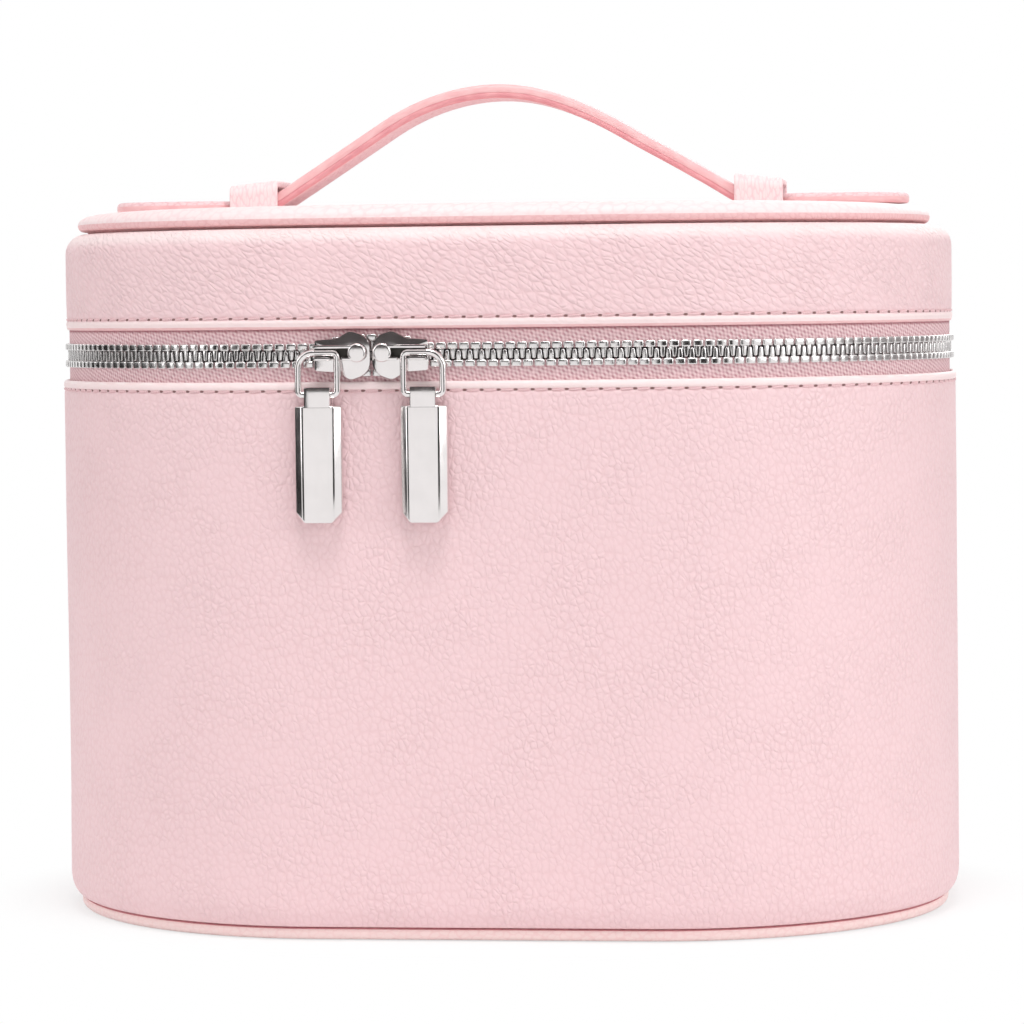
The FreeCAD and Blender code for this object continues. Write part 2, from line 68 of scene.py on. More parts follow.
# Plan and layers
SIDE_FLAT = 14 * MM
CORNER_RADIUS = (DEPTH - SIDE_FLAT) / 2
FRONT_FLAT = WIDTH - 2 * CORNER_RADIUS
LEATHER = 1.3 * MM
WALL_EDGE = 0.6 * MM
FLANGE = 8 * MM
FOOT_RADIUS = 3 * MM
FOOT_RISE = 5.5 * MM
SHOULDER_RADIUS = 4.5 * MM
DOME_RADIUS = 8.0
END_FALL = 0.8 * MM
LID_DRAW = 0.8 * MM
PAD_DRAW_LEFT = 0.7 * MM
PAD_DRAW_RIGHT = 2.8 * MM
TAPE_OUT = 1.35 * MM
TAPE_IN = 2.15 * MM
TAPE_MIDDLE = (TAPE_OUT + TAPE_IN) / 2
BOARD_OUT = 2.2 * MM
LINING_OUT = 3.5 * MM
LINING_IN = 4.3 * MM
ROUND_STEP = 2 * MM

# Stitching, with each thread's bend as shares of the pitch and millimetres of rise
STITCH_PITCH = 3.75 * MM
THREAD = 0.2 * MM
THREAD_TWIST = 0.35 * MM
THREAD_SINK = 0.34 * MM
STITCH_SLANT = 0.3 * MM
WALL_BEND = (-0.42, -0.3), (-0.34, 0.12), (-0.15, 0.3), (0.15, 0.3), (0.34, 0.12), (0.42, -0.3)
HINGE_BEND = (-0.4, -0.25), (-0.25, 0.12), (0.0, 0.18), (0.25, 0.12), (0.4, -0.25)
HOLE_LONG = 0.58 * MM
HOLE_HIGH = 0.3 * MM
LID_ROW = 2.5 * MM
BODY_ROW = 2.1 * MM

# Zip chain
TOOTH_PITCH = 2.56 * MM
TOOTH_DEPTH = 2.8 * MM
TOOTH_ROOT = 2.75 * MM
TOOTH_WAIST = 1.2 * MM
TOOTH_REACH = 1.0 * MM
TOOTH_ROOT_WIDTH = 2.25 * MM
TOOTH_NECK = 0.5 * MM
TOOTH_LAP = 0.4 * MM
TOOTH_NECK_WIDTH = 1.15 * MM
TOOTH_TIP_WIDTH = 0.8 * MM
HEAD_DEPTH = 1.6 * MM
TAPE_END_X = 33 * MM
TAPE_TUCK = 7 * MM
TAPE_GAP = 1.25 * MM
STOP_LENGTH = 2.2 * MM
STOP_SPACE = 0.5 * MM

# Sliders, bails and pulls
SIDES = ("left", -1), ("right", 1)
SLIDER_MEET_X = -22.3 * MM
SLIDER_LENGTH = 12.5 * MM
SLIDER_HEAD = 11 * MM
SLIDER_TAIL = 6.8 * MM
SLIDER_CHEEK = 4.4 * MM
SLIDER_WAIST = 7.5 * MM
SLIDER_PLATE = 1.0 * MM
SLIDER_RIM = 0.3 * MM
SLIDER_BENDS = [3.6 * MM, 1.9 * MM, 2.5 * MM, 0.6 * MM]
SLIDER_MIDDLE = 0.42
SLIDER_SWELL = (1.0, 0.0), (0.98, 0.3), (0.93, 0.42), (0.6, 0.85), (0.35, 1.0)
NOSE_GAP = 0.4 * MM
PLAY = 0.35 * MM
POST_HEIGHT = 1.2 * MM
POST_LENGTH = 2.6 * MM
LUG_WIDTH = 3.8 * MM
LUG_WALL = 0.9 * MM
LUG_SHIFT = 0.8 * MM
LUG_RAIL = 0.75 * MM
RAIL_STEP = 0.15 * MM
# Dark plate inside the slider's bridge, painted shade
SHADE_PLATE_LIFT = 0.08 * MM
SHADE_PLATE_SINK = 0.2 * MM
BOSS = 4.2 * MM
WIRE = 1.6 * MM
BAIL_X = 11.5 * MM
BAIL_WIDTH = 8.7 * MM
BAIL_DROP = 9.2 * MM
BAIL_RAISE = 0.6 * MM
BAIL_OUTER_BEND = 3.4 * MM
BAIL_INNER_BEND = 1.0 * MM
PIN_GAP = 2.6 * MM
PULL_WIDTH = 10.6 * MM
PULL_FACE = 6.8 * MM
PULL_LENGTH = 28.2 * MM
PULL_THICKNESS = 3.0 * MM
PULL_EDGE = 1.5 * MM
PULL_NECK = 5.8 * MM
NECK_FRONT_STEP = 0.02 * MM
NECK_BACK_STEP = 0.1 * MM
NECK_LAP = 1 * MM
PULL_SHOULDER = 2.4 * MM
PULL_CORNER = 2.3 * MM
PLATE_FRONT_Y = -DEPTH / 2 - PLAY
PLATE_BACK_Y = -DEPTH / 2 + TAPE_MIDDLE + TOOTH_DEPTH / 2 + PLAY
BAIL_Y = PLATE_FRONT_Y - SLIDER_PLATE - PLAY - WIRE / 2
BAIL_Z = ZIP_Z + BAIL_RAISE
PIN_Z = BAIL_Z - BAIL_DROP

# Handle
STRAP_WIDTH = 18 * MM
STRAP = 3.2 * MM
TAB = 2.5 * MM
TAB_WIDTH = 25 * MM
TAB_SHOULDER_X = 68.3 * MM
TAB_END_X = 94.5 * MM
TAB_LAP = 2 * MM
STRAP_SPLIT_X = 60.4 * MM
STRAP_BEND_X = 55.5 * MM
STRAP_BEND = 10 * MM
RAMP_ANGLE = math.radians(33)
ARCH_RISE = 26.1 * MM
STRAP_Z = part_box("handle_strap")[0].z
KEEPER_LEATHER = 1.5 * MM
KEEPER_BEND = 1.6 * MM
KEEPER_TILT = 0.1
EDGE_WIDTH = 0.9 * MM
STRAP_CROWN = 0.25 * MM
SAG, SAG_X, SAG_WIDTH = 1.9 * MM, 24 * MM, 17 * MM

# Painted edges, from the upper face down: shares of the edge's width and of half the thickness
STRAP_SIDE = (
    (0.62, 0.92), (0.9, 0.62), (1.0, 0.25), (1.0, -0.12),
    (0.86, -0.26), (1.0, -0.42), (0.9, -0.75), (0.62, -0.94),
)
TAB_SIDE = (
    (1.3, 1.0), (1.0, 1.0), (0.62, 0.92), (0.2, 0.66), (0.0, 0.25), (0.0, 0.0),
    (0.0, -0.2), (0.0, -0.42), (0.12, -0.75), (0.5, -0.95), (1.0, -1.0), (1.3, -1.0),
)


# Plan outlines


def clamp(value):
    return min(1.0, max(0.0, value))


class Outline:
    """Rounded rectangle, walked from the middle of its front, right way positive."""

    def __init__(self, flat, side, radius):
        self.flat, self.side, self.radius = flat, side, radius

    def half(self, inset=0.0):
        return self.flat + self.side + math.pi * (self.radius - inset)

    def place(self, way, inset=0.0):
        """Point and outward direction, a way along the line at a depth behind the outline."""
        r = self.radius - inset
        corner = r * math.pi / 2
        past_front = abs(way) - self.flat / 2
        past_side = past_front - corner - self.side
        along_front = self.flat / 2 + min(past_front, 0.0) - max(past_side - corner, 0.0)
        along_side = clamp((past_front - corner) / self.side) * self.side
        turn = math.pi / 2 * (clamp(past_front / corner) + clamp(past_side / corner))
        out = Vector((math.sin(turn), -math.cos(turn), 0))
        point = Vector((along_front, along_side - self.side / 2, 0)) + r * out
        if way < 0:
            point.x, out.x = -point.x, -out.x
        return point, out


CASE = Outline(FRONT_FLAT, SIDE_FLAT, CORNER_RADIUS)


def behind(point, out, depth, z):
    """Place at a depth behind a point of an outline, raised to a height."""
    spot = point - out * depth
    return Vector((spot.x, spot.y, z))


def spread(low, high, step):
    """Even values from low to high, about a step apart."""
    count = max(1, round((high - low) / step))
    return [low + (high - low) * i / count for i in range(count + 1)]


def rounded(corners, radii, steps=6, closed=False):
    """Flat line through the corners, each turned by an arc of its radius."""
    points = []
    count = len(corners)
    for i, (corner, radius) in enumerate(zip(corners, radii)):
        here = Vector(corner)
        if radius == 0 or not closed and i in (0, count - 1):
            points.append(here)
            continue
        back = (Vector(corners[i - 1]) - here).normalized()
        ahead = (Vector(corners[(i + 1) % count]) - here).normalized()
        half = back.angle(ahead) / 2
        centre = here + (back + ahead).normalized() * radius / math.sin(half)
        start = here + back * radius / math.tan(half) - centre
        end = here + ahead * radius / math.tan(half) - centre
        sweep = start.angle(end)
        for k in range(steps + 1):
            turn = sweep * k / steps
            arm = start * math.sin(sweep - turn) + end * math.sin(turn)
            points.append(centre + arm / math.sin(sweep))
    return points


def lengths(points, closed=False):
    """Distance along a line at each of its points."""
    line = list(points) + (list(points[:1]) if closed else [])
    total = [0.0]
    for a, b in zip(line, line[1:]):
        total.append(total[-1] + (Vector(b) - Vector(a)).length)
    return total


def ahead_at(line, i):
    """Direction of a line at one of its points."""
    return (line[min(i + 1, len(line) - 1)] - line[max(i - 1, 0)]).normalized()


def divided(line, step):
    """The same line with points about a step apart."""
    fine = [line[0]]
    for a, b in zip(line, line[1:]):
        parts = max(1, round((b - a).length / step))
        fine += [a.lerp(b, (k + 1) / parts) for k in range(parts)]
    return fine


def bell(away, width):
    """One in the middle, fading to nothing over a width."""
    return math.exp(-((away / width) ** 2))


# Mesh building


class Skin:
    """Gathers the points, faces and surface map of one piece. The map is in metres."""

    def __init__(self):
        self.points, self.faces, self.maps, self.kinds = [], [], [], []

    def grid(self, rows, us, vs, kinds=None, wrap=False):
        """Faces between rows of points; wrap joins each row's last point to its first."""
        base, width = len(self.points), len(rows[0])
        for row in rows:
            self.points.extend(row)
        for i in range(len(rows) - 1):
            for j in range(width if wrap else width - 1):
                k = (j + 1) % width
                low, high = base + i * width, base + (i + 1) * width
                u, v = us[i:i + 2], vs[j:j + 2]
                self.faces.append((low + j, low + k, high + k, high + j))
                self.maps.append([(u[0], v[0]), (u[0], v[1]), (u[1], v[1]), (u[1], v[0])])
                self.kinds.append(kinds[j] if kinds else 0)

    def cap(self, points, maps=None):
        """One face over a ring of points, mapped from above unless a map is given."""
        base = len(self.points)
        self.points.extend(points)
        self.faces.append(tuple(range(base, base + len(points))))
        self.maps.append(list(maps or [p.xy for p in points]))
        self.kinds.append(0)

    def band(self, rows, us, section, kinds=None, ends=(0, -1)):
        """Closed section swept through the rows, with caps over its ends."""
        self.grid(rows, us, lengths(section, closed=True), kinds, wrap=True)
        for j in ends:
            self.cap(rows[j], section)

    def tube(self, line, radius, sides):
        """Round cord along a line, closed at both ends."""
        turns = [2 * math.pi * k / sides for k in range(sides)]
        ahead = (line[1] - line[0]).normalized()
        across = ahead.orthogonal().normalized()
        rows = []
        for i, point in enumerate(line):
            new = ahead_at(line, i)
            across = (ahead.rotation_difference(new) @ across).normalized()
            ahead = new
            up = ahead.cross(across)
            rows.append([point + radius * (math.cos(a) * across + math.sin(a) * up) for a in turns])
        vs = [radius * a for a in turns] + [2 * math.pi * radius]
        self.grid(rows, lengths(line), vs, wrap=True)
        for row in (rows[0], rows[-1]):
            self.cap(row, [(0, v) for v in vs[:-1]])

    def close(self, rows):
        """Caps over both ends of rows that go once round the case."""
        for j in (0, -1):
            self.cap([row[j] for row in rows[:-1]])

    def build(self, name, materials, sharp=40):
        mesh = bpy.data.meshes.new(name)
        mesh.from_pydata([tuple(p) for p in self.points], [], self.faces)
        layer = mesh.uv_layers.new(name="surface")
        corners = [c for face in self.maps for c in face]
        layer.data.foreach_set("uv", [x for corner in corners for x in corner])
        mesh.polygons.foreach_set("material_index", self.kinds)
        work = bmesh.new()
        work.from_mesh(mesh)
        bmesh.ops.remove_doubles(work, verts=work.verts, dist=1e-6)
        bmesh.ops.recalc_face_normals(work, faces=work.faces)
        work.to_mesh(mesh)
        work.free()
        return place_mesh(name, mesh, materials, sharp)


def place_mesh(name, mesh, materials, sharp):
    """New piece of a mesh, smooth except at edges that turn by more than an angle."""
    for material in materials:
        mesh.materials.append(material)
    mesh.shade_smooth()
    mesh.set_sharp_from_angle(angle=math.radians(sharp))
    piece = bpy.data.objects.new(name, mesh)
    scene.collection.objects.link(piece)
    return piece


def stand_for(piece, slot, *replaced):
    """The piece stands for solids, which it hides. The slot is not used."""
    if replaced:
        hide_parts(*replaced)


def dress(piece, body, slot, *replaced):
    """The piece rides on a body, and stands for solids."""
    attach(piece, body)
    stand_for(piece, slot, *replaced)


def coat(node, material):
    """A solid that shows as it is takes a finish."""
    nodes[node].data.materials.clear()
    nodes[node].data.materials.append(material)


# Materials


class Graph:
    """The nodes of a material or a world, and short ways to add and join them."""

    def __init__(self, owner):
        owner.use_nodes = True
        self.owner = owner
        self.tree = owner.node_tree

    def add(self, kind, inputs, **options):
        node = self.tree.nodes.new("ShaderNode" + kind)
        for option, value in options.items():
            setattr(node, option, value)
        for socket, value in inputs.items():
            if isinstance(value, bpy.types.NodeSocket):
                self.tree.links.new(value, node.inputs[socket])
            else:
                node.inputs[socket].default_value = value
        return node.outputs

    def math(self, operation, *values):
        return self.add("Math", dict(enumerate(values)), operation=operation)[0]

    def mix(self, share, a, b, blend="MIX"):
        return self.add("Mix", {0: share, 6: a, 7: b}, data_type="RGBA", blend_type=blend)[2]

    def rise(self, value, low, high, start=0.0, end=1.0):
        """Smooth step from start to end as the value goes from low to high."""
        inputs = {"Value": value, "From Min": low, "From Max": high, "To Min": start, "To Max": end}
        return self.add("MapRange", inputs, interpolation_type="SMOOTHSTEP")[0]

    def turned(self, vector, angle, size):
        """Place along axes turned by an angle, counted in units of a size."""
        inputs = {"Vector": vector, "Rotation": (0, 0, angle), "Scale": size}
        return self.add("Mapping", inputs, vector_type="TEXTURE")[0]

    def show(self, shader):
        self.tree.links.new(shader, self.tree.nodes["Material Output"].inputs["Surface"])


class Shader(Graph):
    """A material, with its shader's settings by name."""

    def __init__(self, name, **settings):
        super().__init__(bpy.data.materials.new(name))
        self.main = self.tree.nodes["Principled BSDF"]
        for socket, value in settings.items():
            self.main.inputs[socket.replace("_", " ")].default_value = value

    def surface(self):
        return self.add("UVMap", {}, uv_map="surface")["UV"]

    def noise(self, vector, scale, detail=2.0):
        return self.add("TexNoise", {"Vector": vector, "Scale": scale, "Detail": detail})[0]

    def finish(self, colour, roughness, height=None, relief=0.0, strength=1.0):
        """Joins colour, roughness and relief to the shader, and gives the material."""
        joins = {"Base Color": colour, "Roughness": roughness}
        if height:
            bump = {"Height": height, "Distance": relief, "Strength": strength}
            joins["Normal"] = self.add("Bump", bump)[0]
        for socket, value in joins.items():
            self.tree.links.new(value, self.main.inputs[socket])
        return self.owner


def rgb(r, g, b):
    """Linear colour of a screen colour."""
    parts = [c / 255 for c in (r, g, b)]
    return (*[c / 12.92 if c <= 0.04045 else ((c + 0.055) / 1.055) ** 2.4 for c in parts], 1)


def leather(name, colour, crease_shade, grain, turn=0.0, relief=0.12, row=None, fold=None):
    """Pebbled leather: domed grains parted by creases darkened with painted shade, and fine pores.

    Grain and relief are in millimetres. A row of stitches has needle holes, dipped and darkened with
    painted shade, and a smooth pale edge; a fold gets a painted sheen, paler.
    """
    s = Shader(name, Specular_IOR_Level=0.35)
    uv = s.surface()
    cells = s.turned(uv, turn, (grain[0] * MM, grain[1] * MM, 1))
    warp = s.add("TexNoise", {"Vector": cells, "Scale": 0.7, "Detail": 2.0})[1]
    cells = s.mix(0.55, cells, warp, "LINEAR_LIGHT")
    grains = {"Vector": cells, "Scale": 1.0}
    dome = s.add("TexVoronoi", grains, voronoi_dimensions="2D", feature="F1")[0]
    edge = s.add("TexVoronoi", grains, voronoi_dimensions="2D", feature="DISTANCE_TO_EDGE")[0]
    pebble = s.math("MULTIPLY_ADD", s.rise(edge, 0.0, 0.3), 0.35, s.rise(dome, 0.0, 0.9, 0.65, 0.0))
    patch = s.rise(s.noise(uv, 70), 0.3, 0.7, 0.45, 1.0)
    pores = s.noise(uv, 2400)
    swell = s.math("MULTIPLY", pebble, patch)
    # Painted shade: creases between grains take the darker colour.
    tone = s.mix(s.rise(pebble, 0.1, 0.7), crease_shade, colour)
    tone = s.mix(s.rise(s.noise(uv, 28), 0.35, 0.65, 0.0, 0.4), tone, colour)
    part = s.add("SeparateXYZ", {0: uv})
    # Painted sheen: the lid's shoulder fold is paled as if lit from above.
    if fold:
        tone = s.mix(s.rise(part[1], fold, fold + 3 * MM, 0.0, 0.85), tone, PALE_EDGE_AND_SHEEN)
    if row:
        step = s.math("SUBTRACT", s.math("FRACT", s.math("DIVIDE", part[0], STITCH_PITCH)), 0.5)
        along = s.math("MULTIPLY", step, STITCH_PITCH / HOLE_LONG)
        across = s.math("DIVIDE", s.math("SUBTRACT", part[1], row), HOLE_HIGH)
        reach = s.math("ADD", s.math("POWER", along, 2.0), s.math("POWER", across, 2.0))
        # Painted shade in each needle hole, with a dip in the relief
        hole_dip_and_shade = s.rise(reach, 0.4, 1.3, 1.0, 0.0)
        tone = s.mix(s.rise(part[1], row * 0.6, row, 0.8, 0.0), tone, PALE_EDGE_AND_SHEEN)
        tone = s.mix(hole_dip_and_shade, tone, HOLE_PAINTED_SHADE)
        swell = s.math("MULTIPLY", swell, s.rise(part[1], row, row * 2, 0.3, 1.0))
        swell = s.math("MULTIPLY_ADD", hole_dip_and_shade, -1.5, swell)
    roughness = s.rise(pebble, 0.0, 1.0, 0.62, 0.46)
    return s.finish(tone, roughness, s.math("MULTIPLY_ADD", pores, 0.12, swell), relief * MM, 0.8)


def painted_edge(name, colour, line):
    """Glossy edge paint, a little uneven along its length."""
    s = Shader(name, Specular_IOR_Level=0.45)
    uv = s.surface()
    wave = s.noise(s.turned(uv, 0, (4, 1, 1)), 900)
    tone = s.mix(s.rise(wave, 0.3, 0.75), line, colour)
    return s.finish(tone, s.rise(wave, 0.2, 0.8, 0.34, 0.48), wave, 0.08 * MM, 0.6)


def woven(name, dark, light, pitch, turn, relief, under=None):
    """Cloth of two sets of yarns, a twill where they are turned, with a painted shadow where it goes
    under leather.
    """
    s = Shader(name, Specular_IOR_Level=0.2)
    flat = s.surface()
    uv = s.turned(flat, turn, (1, 1, 1))
    part = s.add("SeparateXYZ", {0: uv})
    warp = s.math("SINE", s.math("MULTIPLY", part[0], 2 * math.pi / pitch))
    weft = s.math("SINE", s.math("MULTIPLY", part[1], 2 * math.pi / (pitch * 1.7)))
    fuzz = s.noise(uv, 1200, 3.0)
    loose = s.math("MULTIPLY_ADD", warp, 0.3, s.math("MULTIPLY", fuzz, 1.6))
    height = s.math("MULTIPLY_ADD", warp, weft, loose)
    tone = s.mix(s.rise(height, -0.6, 2.0), dark, light)
    # Painted shadow: the tape darkens just below the lid's leather edge, standing for the shadow that
    # edge casts.
    if under:
        level = s.add("SeparateXYZ", {0: flat})[1]
        shade = s.rise(level, under - 0.7 * MM, under, 0.0, 0.75)
        tone = s.mix(shade, tone, TAPE_PAINTED_SHADOW)
    return s.finish(tone, s.rise(fuzz, 0.2, 0.8, 0.75, 0.92), height, relief, 0.8)


def plated(name, colour, rough):
    """Polished nickel plate with faint scuffs and cloudy patches."""
    s = Shader(name, Metallic=1.0)
    place = s.add("TexCoord", {})["Object"]
    cloud = s.noise(place, 180, 3.0)
    scuff = s.noise(s.turned(place, 0.4, (1, 1, 20)), 2600, 2.0)
    wear = s.math("MULTIPLY_ADD", scuff, 0.5, cloud)
    tone = s.mix(s.rise(cloud, 0.3, 0.7), [c * 0.95 for c in colour[:3]] + [1], colour)
    return s.finish(tone, s.rise(wear, 0.4, 1.1, rough * 0.7, rough * 1.5), scuff, 0.01 * MM, 0.25)


def silvered(name):
    """Mirror glass with faint smears."""
    s = Shader(name, Metallic=1.0)
    place = s.add("TexCoord", {})["Object"]
    smear = s.noise(s.turned(place, 0.7, (3, 1, 1)), 90, 4.0)
    tint = s.mix(smear, (0.88, 0.91, 0.91, 1), (0.93, 0.94, 0.94, 1))
    return s.finish(tint, s.rise(smear, 0.35, 0.75, 0.015, 0.06))


def fibrous(name, dark, light, scale):
    """Greyboard or foam: short fibres or pores in three dimensions."""
    s = Shader(name, Specular_IOR_Level=0.1)
    place = s.add("TexCoord", {})["Object"]
    fibre = s.noise(place, scale, 4.0)
    speck = s.noise(place, scale * 4)
    tone = s.mix(s.rise(fibre, 0.3, 0.7), dark, light)
    roughness = s.rise(speck, 0.2, 0.8, 0.8, 0.95)
    return s.finish(tone, roughness, s.math("ADD", fibre, speck), 0.15 * MM, 0.6)


def spun(name, dark, light):
    """Sewing thread, twisted."""
    s = Shader(name, Specular_IOR_Level=0.25)
    along = s.add("SeparateXYZ", {0: s.turned(s.surface(), 0.6, (1, 1, 1))})[0]
    twist = s.math("SINE", s.math("MULTIPLY", along, 2 * math.pi / THREAD_TWIST))
    tone = s.mix(s.rise(twist, -1.0, 1.0), dark, light)
    return s.finish(tone, s.rise(twist, -1.0, 1.0, 0.7, 0.55), twist, 0.04 * MM, 0.6)


ROSE = rgb(244, 211, 214)
# Darker colour painted into the creases as shade
ROSE_CREASE_SHADE = rgb(240, 205, 208)
# Pale tone of the stitched edge, also the painted sheen on the lid's shoulder
PALE_EDGE_AND_SHEEN = rgb(251, 232, 231)
# Colour painted into the needle holes as their shade
HOLE_PAINTED_SHADE = rgb(146, 108, 106)
# Colour of the painted shadow on the upper tape under the lid's edge
TAPE_PAINTED_SHADOW = rgb(150, 88, 96)
TAPE_TONES = rgb(206, 154, 162), rgb(250, 222, 224)
TWILL = 1.0 * MM, 0.75, 0.12 * MM
body_leather = leather(
    "body_leather", ROSE, ROSE_CREASE_SHADE, (1.7, 1.3), turn=1.45, relief=0.27, row=BODY_ROW - WALL_EDGE
)
lid_leather = leather(
    "lid_leather", ROSE, ROSE_CREASE_SHADE, (2.3, 1.25), turn=-0.6, relief=0.42,
    # the shoulder fold gets a painted sheen
    row=LID_ROW - WALL_EDGE, fold=LID_HIGH.z - LID_EDGE_Z - SHOULDER_RADIUS
)
body_hem = painted_edge("body_hem", rgb(252, 236, 235), rgb(248, 222, 222))
lid_hem = painted_edge("lid_hem", rgb(247, 206, 206), rgb(240, 190, 192))
# Paler leather for the pad's top: painted light from above
top_painted_light_leather = leather("top_painted_light_leather", rgb(250, 230, 230), rgb(247, 221, 222), (2.4, 1.7), 0.4)
trim_leather = leather("trim_leather", ROSE, ROSE_CREASE_SHADE, (1.6, 1.2), 0.3)
# Paler than the rose leather: painted light that offsets the shade near the floor
base_painted_light_leather = leather("base_painted_light_leather", rgb(255, 229, 226), rgb(252, 220, 218), (1.8, 1.4), 0.3, 0.06)
# Darker leather for the base's seam sides: painted shade under the body's foot
seam_painted_shade_leather = leather("seam_painted_shade_leather", rgb(216, 150, 155), rgb(206, 138, 144), (1.8, 1.4))
# Darker leather for the pad's tucked underside: painted shade
tuck_painted_shade_leather = leather("tuck_painted_shade_leather", rgb(246, 202, 203), rgb(240, 190, 192), (1.8, 1.4))
loop_leather = leather("loop_leather", rgb(249, 228, 228), ROSE, (2.2, 0.8))
strap_leather = leather("strap_leather", rgb(243, 208, 210), rgb(234, 190, 194), (1.5, 1.1))
edge_paint = painted_edge("edge_paint", rgb(247, 202, 202), rgb(240, 184, 186))
lower_paint = painted_edge("lower_paint", rgb(240, 174, 177), rgb(228, 152, 158))
lower_tape_cloth = woven("lower_tape_cloth", *TAPE_TONES, *TWILL)
# The upper tape gets a painted shadow below the lid's edge.
upper_tape_cloth = woven("upper_tape_cloth", *TAPE_TONES, *TWILL, under=LID_EDGE_Z - ZIP_Z - TAPE_GAP)
lining_cloth = woven(
    "lining_cloth", rgb(222, 192, 188), rgb(240, 216, 211), pitch=0.6 * MM, turn=0.0, relief=0.1 * MM
)
thread = spun("thread", rgb(226, 184, 188), rgb(246, 216, 218))
nickel = plated("nickel", (0.85, 0.81, 0.805, 1), rough=0.13)
tooth_nickel = plated("tooth_nickel", (0.81, 0.785, 0.78, 1), rough=0.2)
# Near-black plate material: painted shade inside the slider's bridge
bridge_painted_shade = plated("bridge_painted_shade", (0.07, 0.065, 0.06, 1), rough=0.35)
mirror_glass = silvered("mirror_glass")
greyboard = fibrous("greyboard", rgb(150, 132, 110), rgb(184, 168, 146), scale=900)
pad_foam = fibrous("pad_foam", rgb(214, 206, 190), rgb(238, 232, 218), scale=1600)


# Walls of body and lid

HEM_SIDES = 4
HEM_CURVE = 0.15 * MM
HEM_RISE = 0.2 * MM
GROOVE, GROOVE_WIDTH = 0.26 * MM, 0.4 * MM
PUFF, PUFF_WIDTH, PUFF_PLACE = 0.16 * MM, 0.5 * MM, 0.55
GROOVED = 4.5 * MM
FOLD_STEPS = 8
RIPPLE = 0.3 * MM
RIPPLE_LONG, RIPPLE_HIGH = 45 * MM, 60 * MM
RIPPLE_FADE = 30 * MM
LID_RIPPLE, LID_RIPPLE_SHIFT = 0.6, 0.2
BODY_STILL_TOP, BODY_STILL_FOOT, BODY_FADE = 6 * MM, 8 * MM, 20 * MM
LID_STILL_EDGE, LID_EDGE_FADE, LID_FOLD_FADE = 4 * MM, 6 * MM, 5 * MM


def ripple(way, height):
    """Slow unevenness of stretched leather, none at the back where the wall meets itself."""
    still = min(1.0, (CASE.half() - abs(way)) / RIPPLE_FADE)
    return RIPPLE * still * noise.noise(Vector((way / RIPPLE_LONG, height / RIPPLE_HIGH, 0.5)))


def shell(name, profile, materials, ends=None, ease=None, draw=0.0, step=ROUND_STEP):
    """Wall swept round the case from a closed profile of (inset, height) pairs.

    It eases in by a function of place and height, and its ends are drawn in. A second material
    covers the last sides of the profile, the hem.
    """
    reach = ends or CASE.half()
    ways = spread(-reach, reach, step)
    skin = Skin()
    rows = []
    for way in ways:
        point, out = CASE.place(way)
        row = []
        for inset, z in profile:
            sway = ease(way, z) if ease else 0.0
            row.append(behind(point, out, inset + sway + draw * out.x**2, z))
        rows.append(row)
    hem = HEM_SIDES * (len(materials) - 1)
    kinds = [0] * (len(profile) - hem) + [1] * hem
    skin.band(rows, ways, profile, kinds, (0, -1) if ends else ())
    return skin.build(name, materials)


def wall_profile(edge_z, fold_z, radius, rise, row):
    """Leather wall from its open edge, past the stitch groove, to the folded end and back inside."""
    way = 1 if fold_z > edge_z else -1
    height = abs(fold_z - edge_z)
    outer = []
    for h in spread(WALL_EDGE, GROOVED, 0.2 * MM) + [GROOVED + 1 * MM, GROOVED + 2.5 * MM]:
        groove = GROOVE * bell(h - row, GROOVE_WIDTH)
        puff = PUFF * bell(h - row * PUFF_PLACE, PUFF_WIDTH)
        outer.append((groove - puff, h))
    outer += [(0.0, h) for h in spread(GROOVED + 4 * MM, height - rise, 4 * MM)]
    turns = [math.pi / 2 * (k + 1) / FOLD_STEPS for k in range(FOLD_STEPS)]
    outer += [(radius * (1 - math.cos(a)), height - rise * (1 - math.sin(a))) for a in turns]
    outer += [(FLANGE, height), (FLANGE, height - LEATHER)]
    small, low, end = radius - LEATHER, rise - LEATHER, height - LEATHER
    inner = [(radius - small * math.cos(a), end - low * (1 - math.sin(a))) for a in reversed(turns)]
    inner += [(LEATHER, height - rise), (LEATHER, WALL_EDGE)]
    inner += [(LEATHER * 0.8, HEM_CURVE), (WALL_EDGE, 0.0), (HEM_CURVE, HEM_RISE)]
    return [(inset, edge_z + way * h) for inset, h in outer + inner]


def sway_body(way, z):
    """Unevenness of the body wall, none near its stitches and its foot."""
    below = clamp((RIM_Z - z - BODY_STILL_TOP) / BODY_FADE)
    above = clamp((z - BODY_STILL_FOOT) / BODY_FADE)
    return ripple(way, z) * below * above


def sway_lid(way, z):
    """Unevenness of the lid wall, less than the body's and with its own run."""
    above = clamp((z - LID_EDGE_Z - LID_STILL_EDGE) / LID_EDGE_FADE)
    below = clamp((LID_HIGH.z - z) / LID_FOLD_FADE)
    return LID_RIPPLE * ripple(way, z + LID_RIPPLE_SHIFT) * above * below


body_profile = wall_profile(RIM_Z, BODY_LOW.z, FOOT_RADIUS, FOOT_RISE, BODY_ROW)
body_wall = shell("body_wall", body_profile, [body_leather, body_hem], ease=sway_body)
dress(body_wall, "case_body", "leather", "body_cover")
lid_profile = wall_profile(LID_EDGE_Z, LID_HIGH.z, SHOULDER_RADIUS, SHOULDER_RADIUS, LID_ROW)
lid_wall = shell("lid_wall", lid_profile, [lid_leather, lid_hem], ease=sway_lid, draw=LID_DRAW)
dress(lid_wall, "lid", "leather", "lid_cover")


HINGE_LOW, HINGE_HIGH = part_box("hinge_panel")
STITCHED_HALF = CASE.half() - HINGE_HIGH.x - STITCH_PITCH


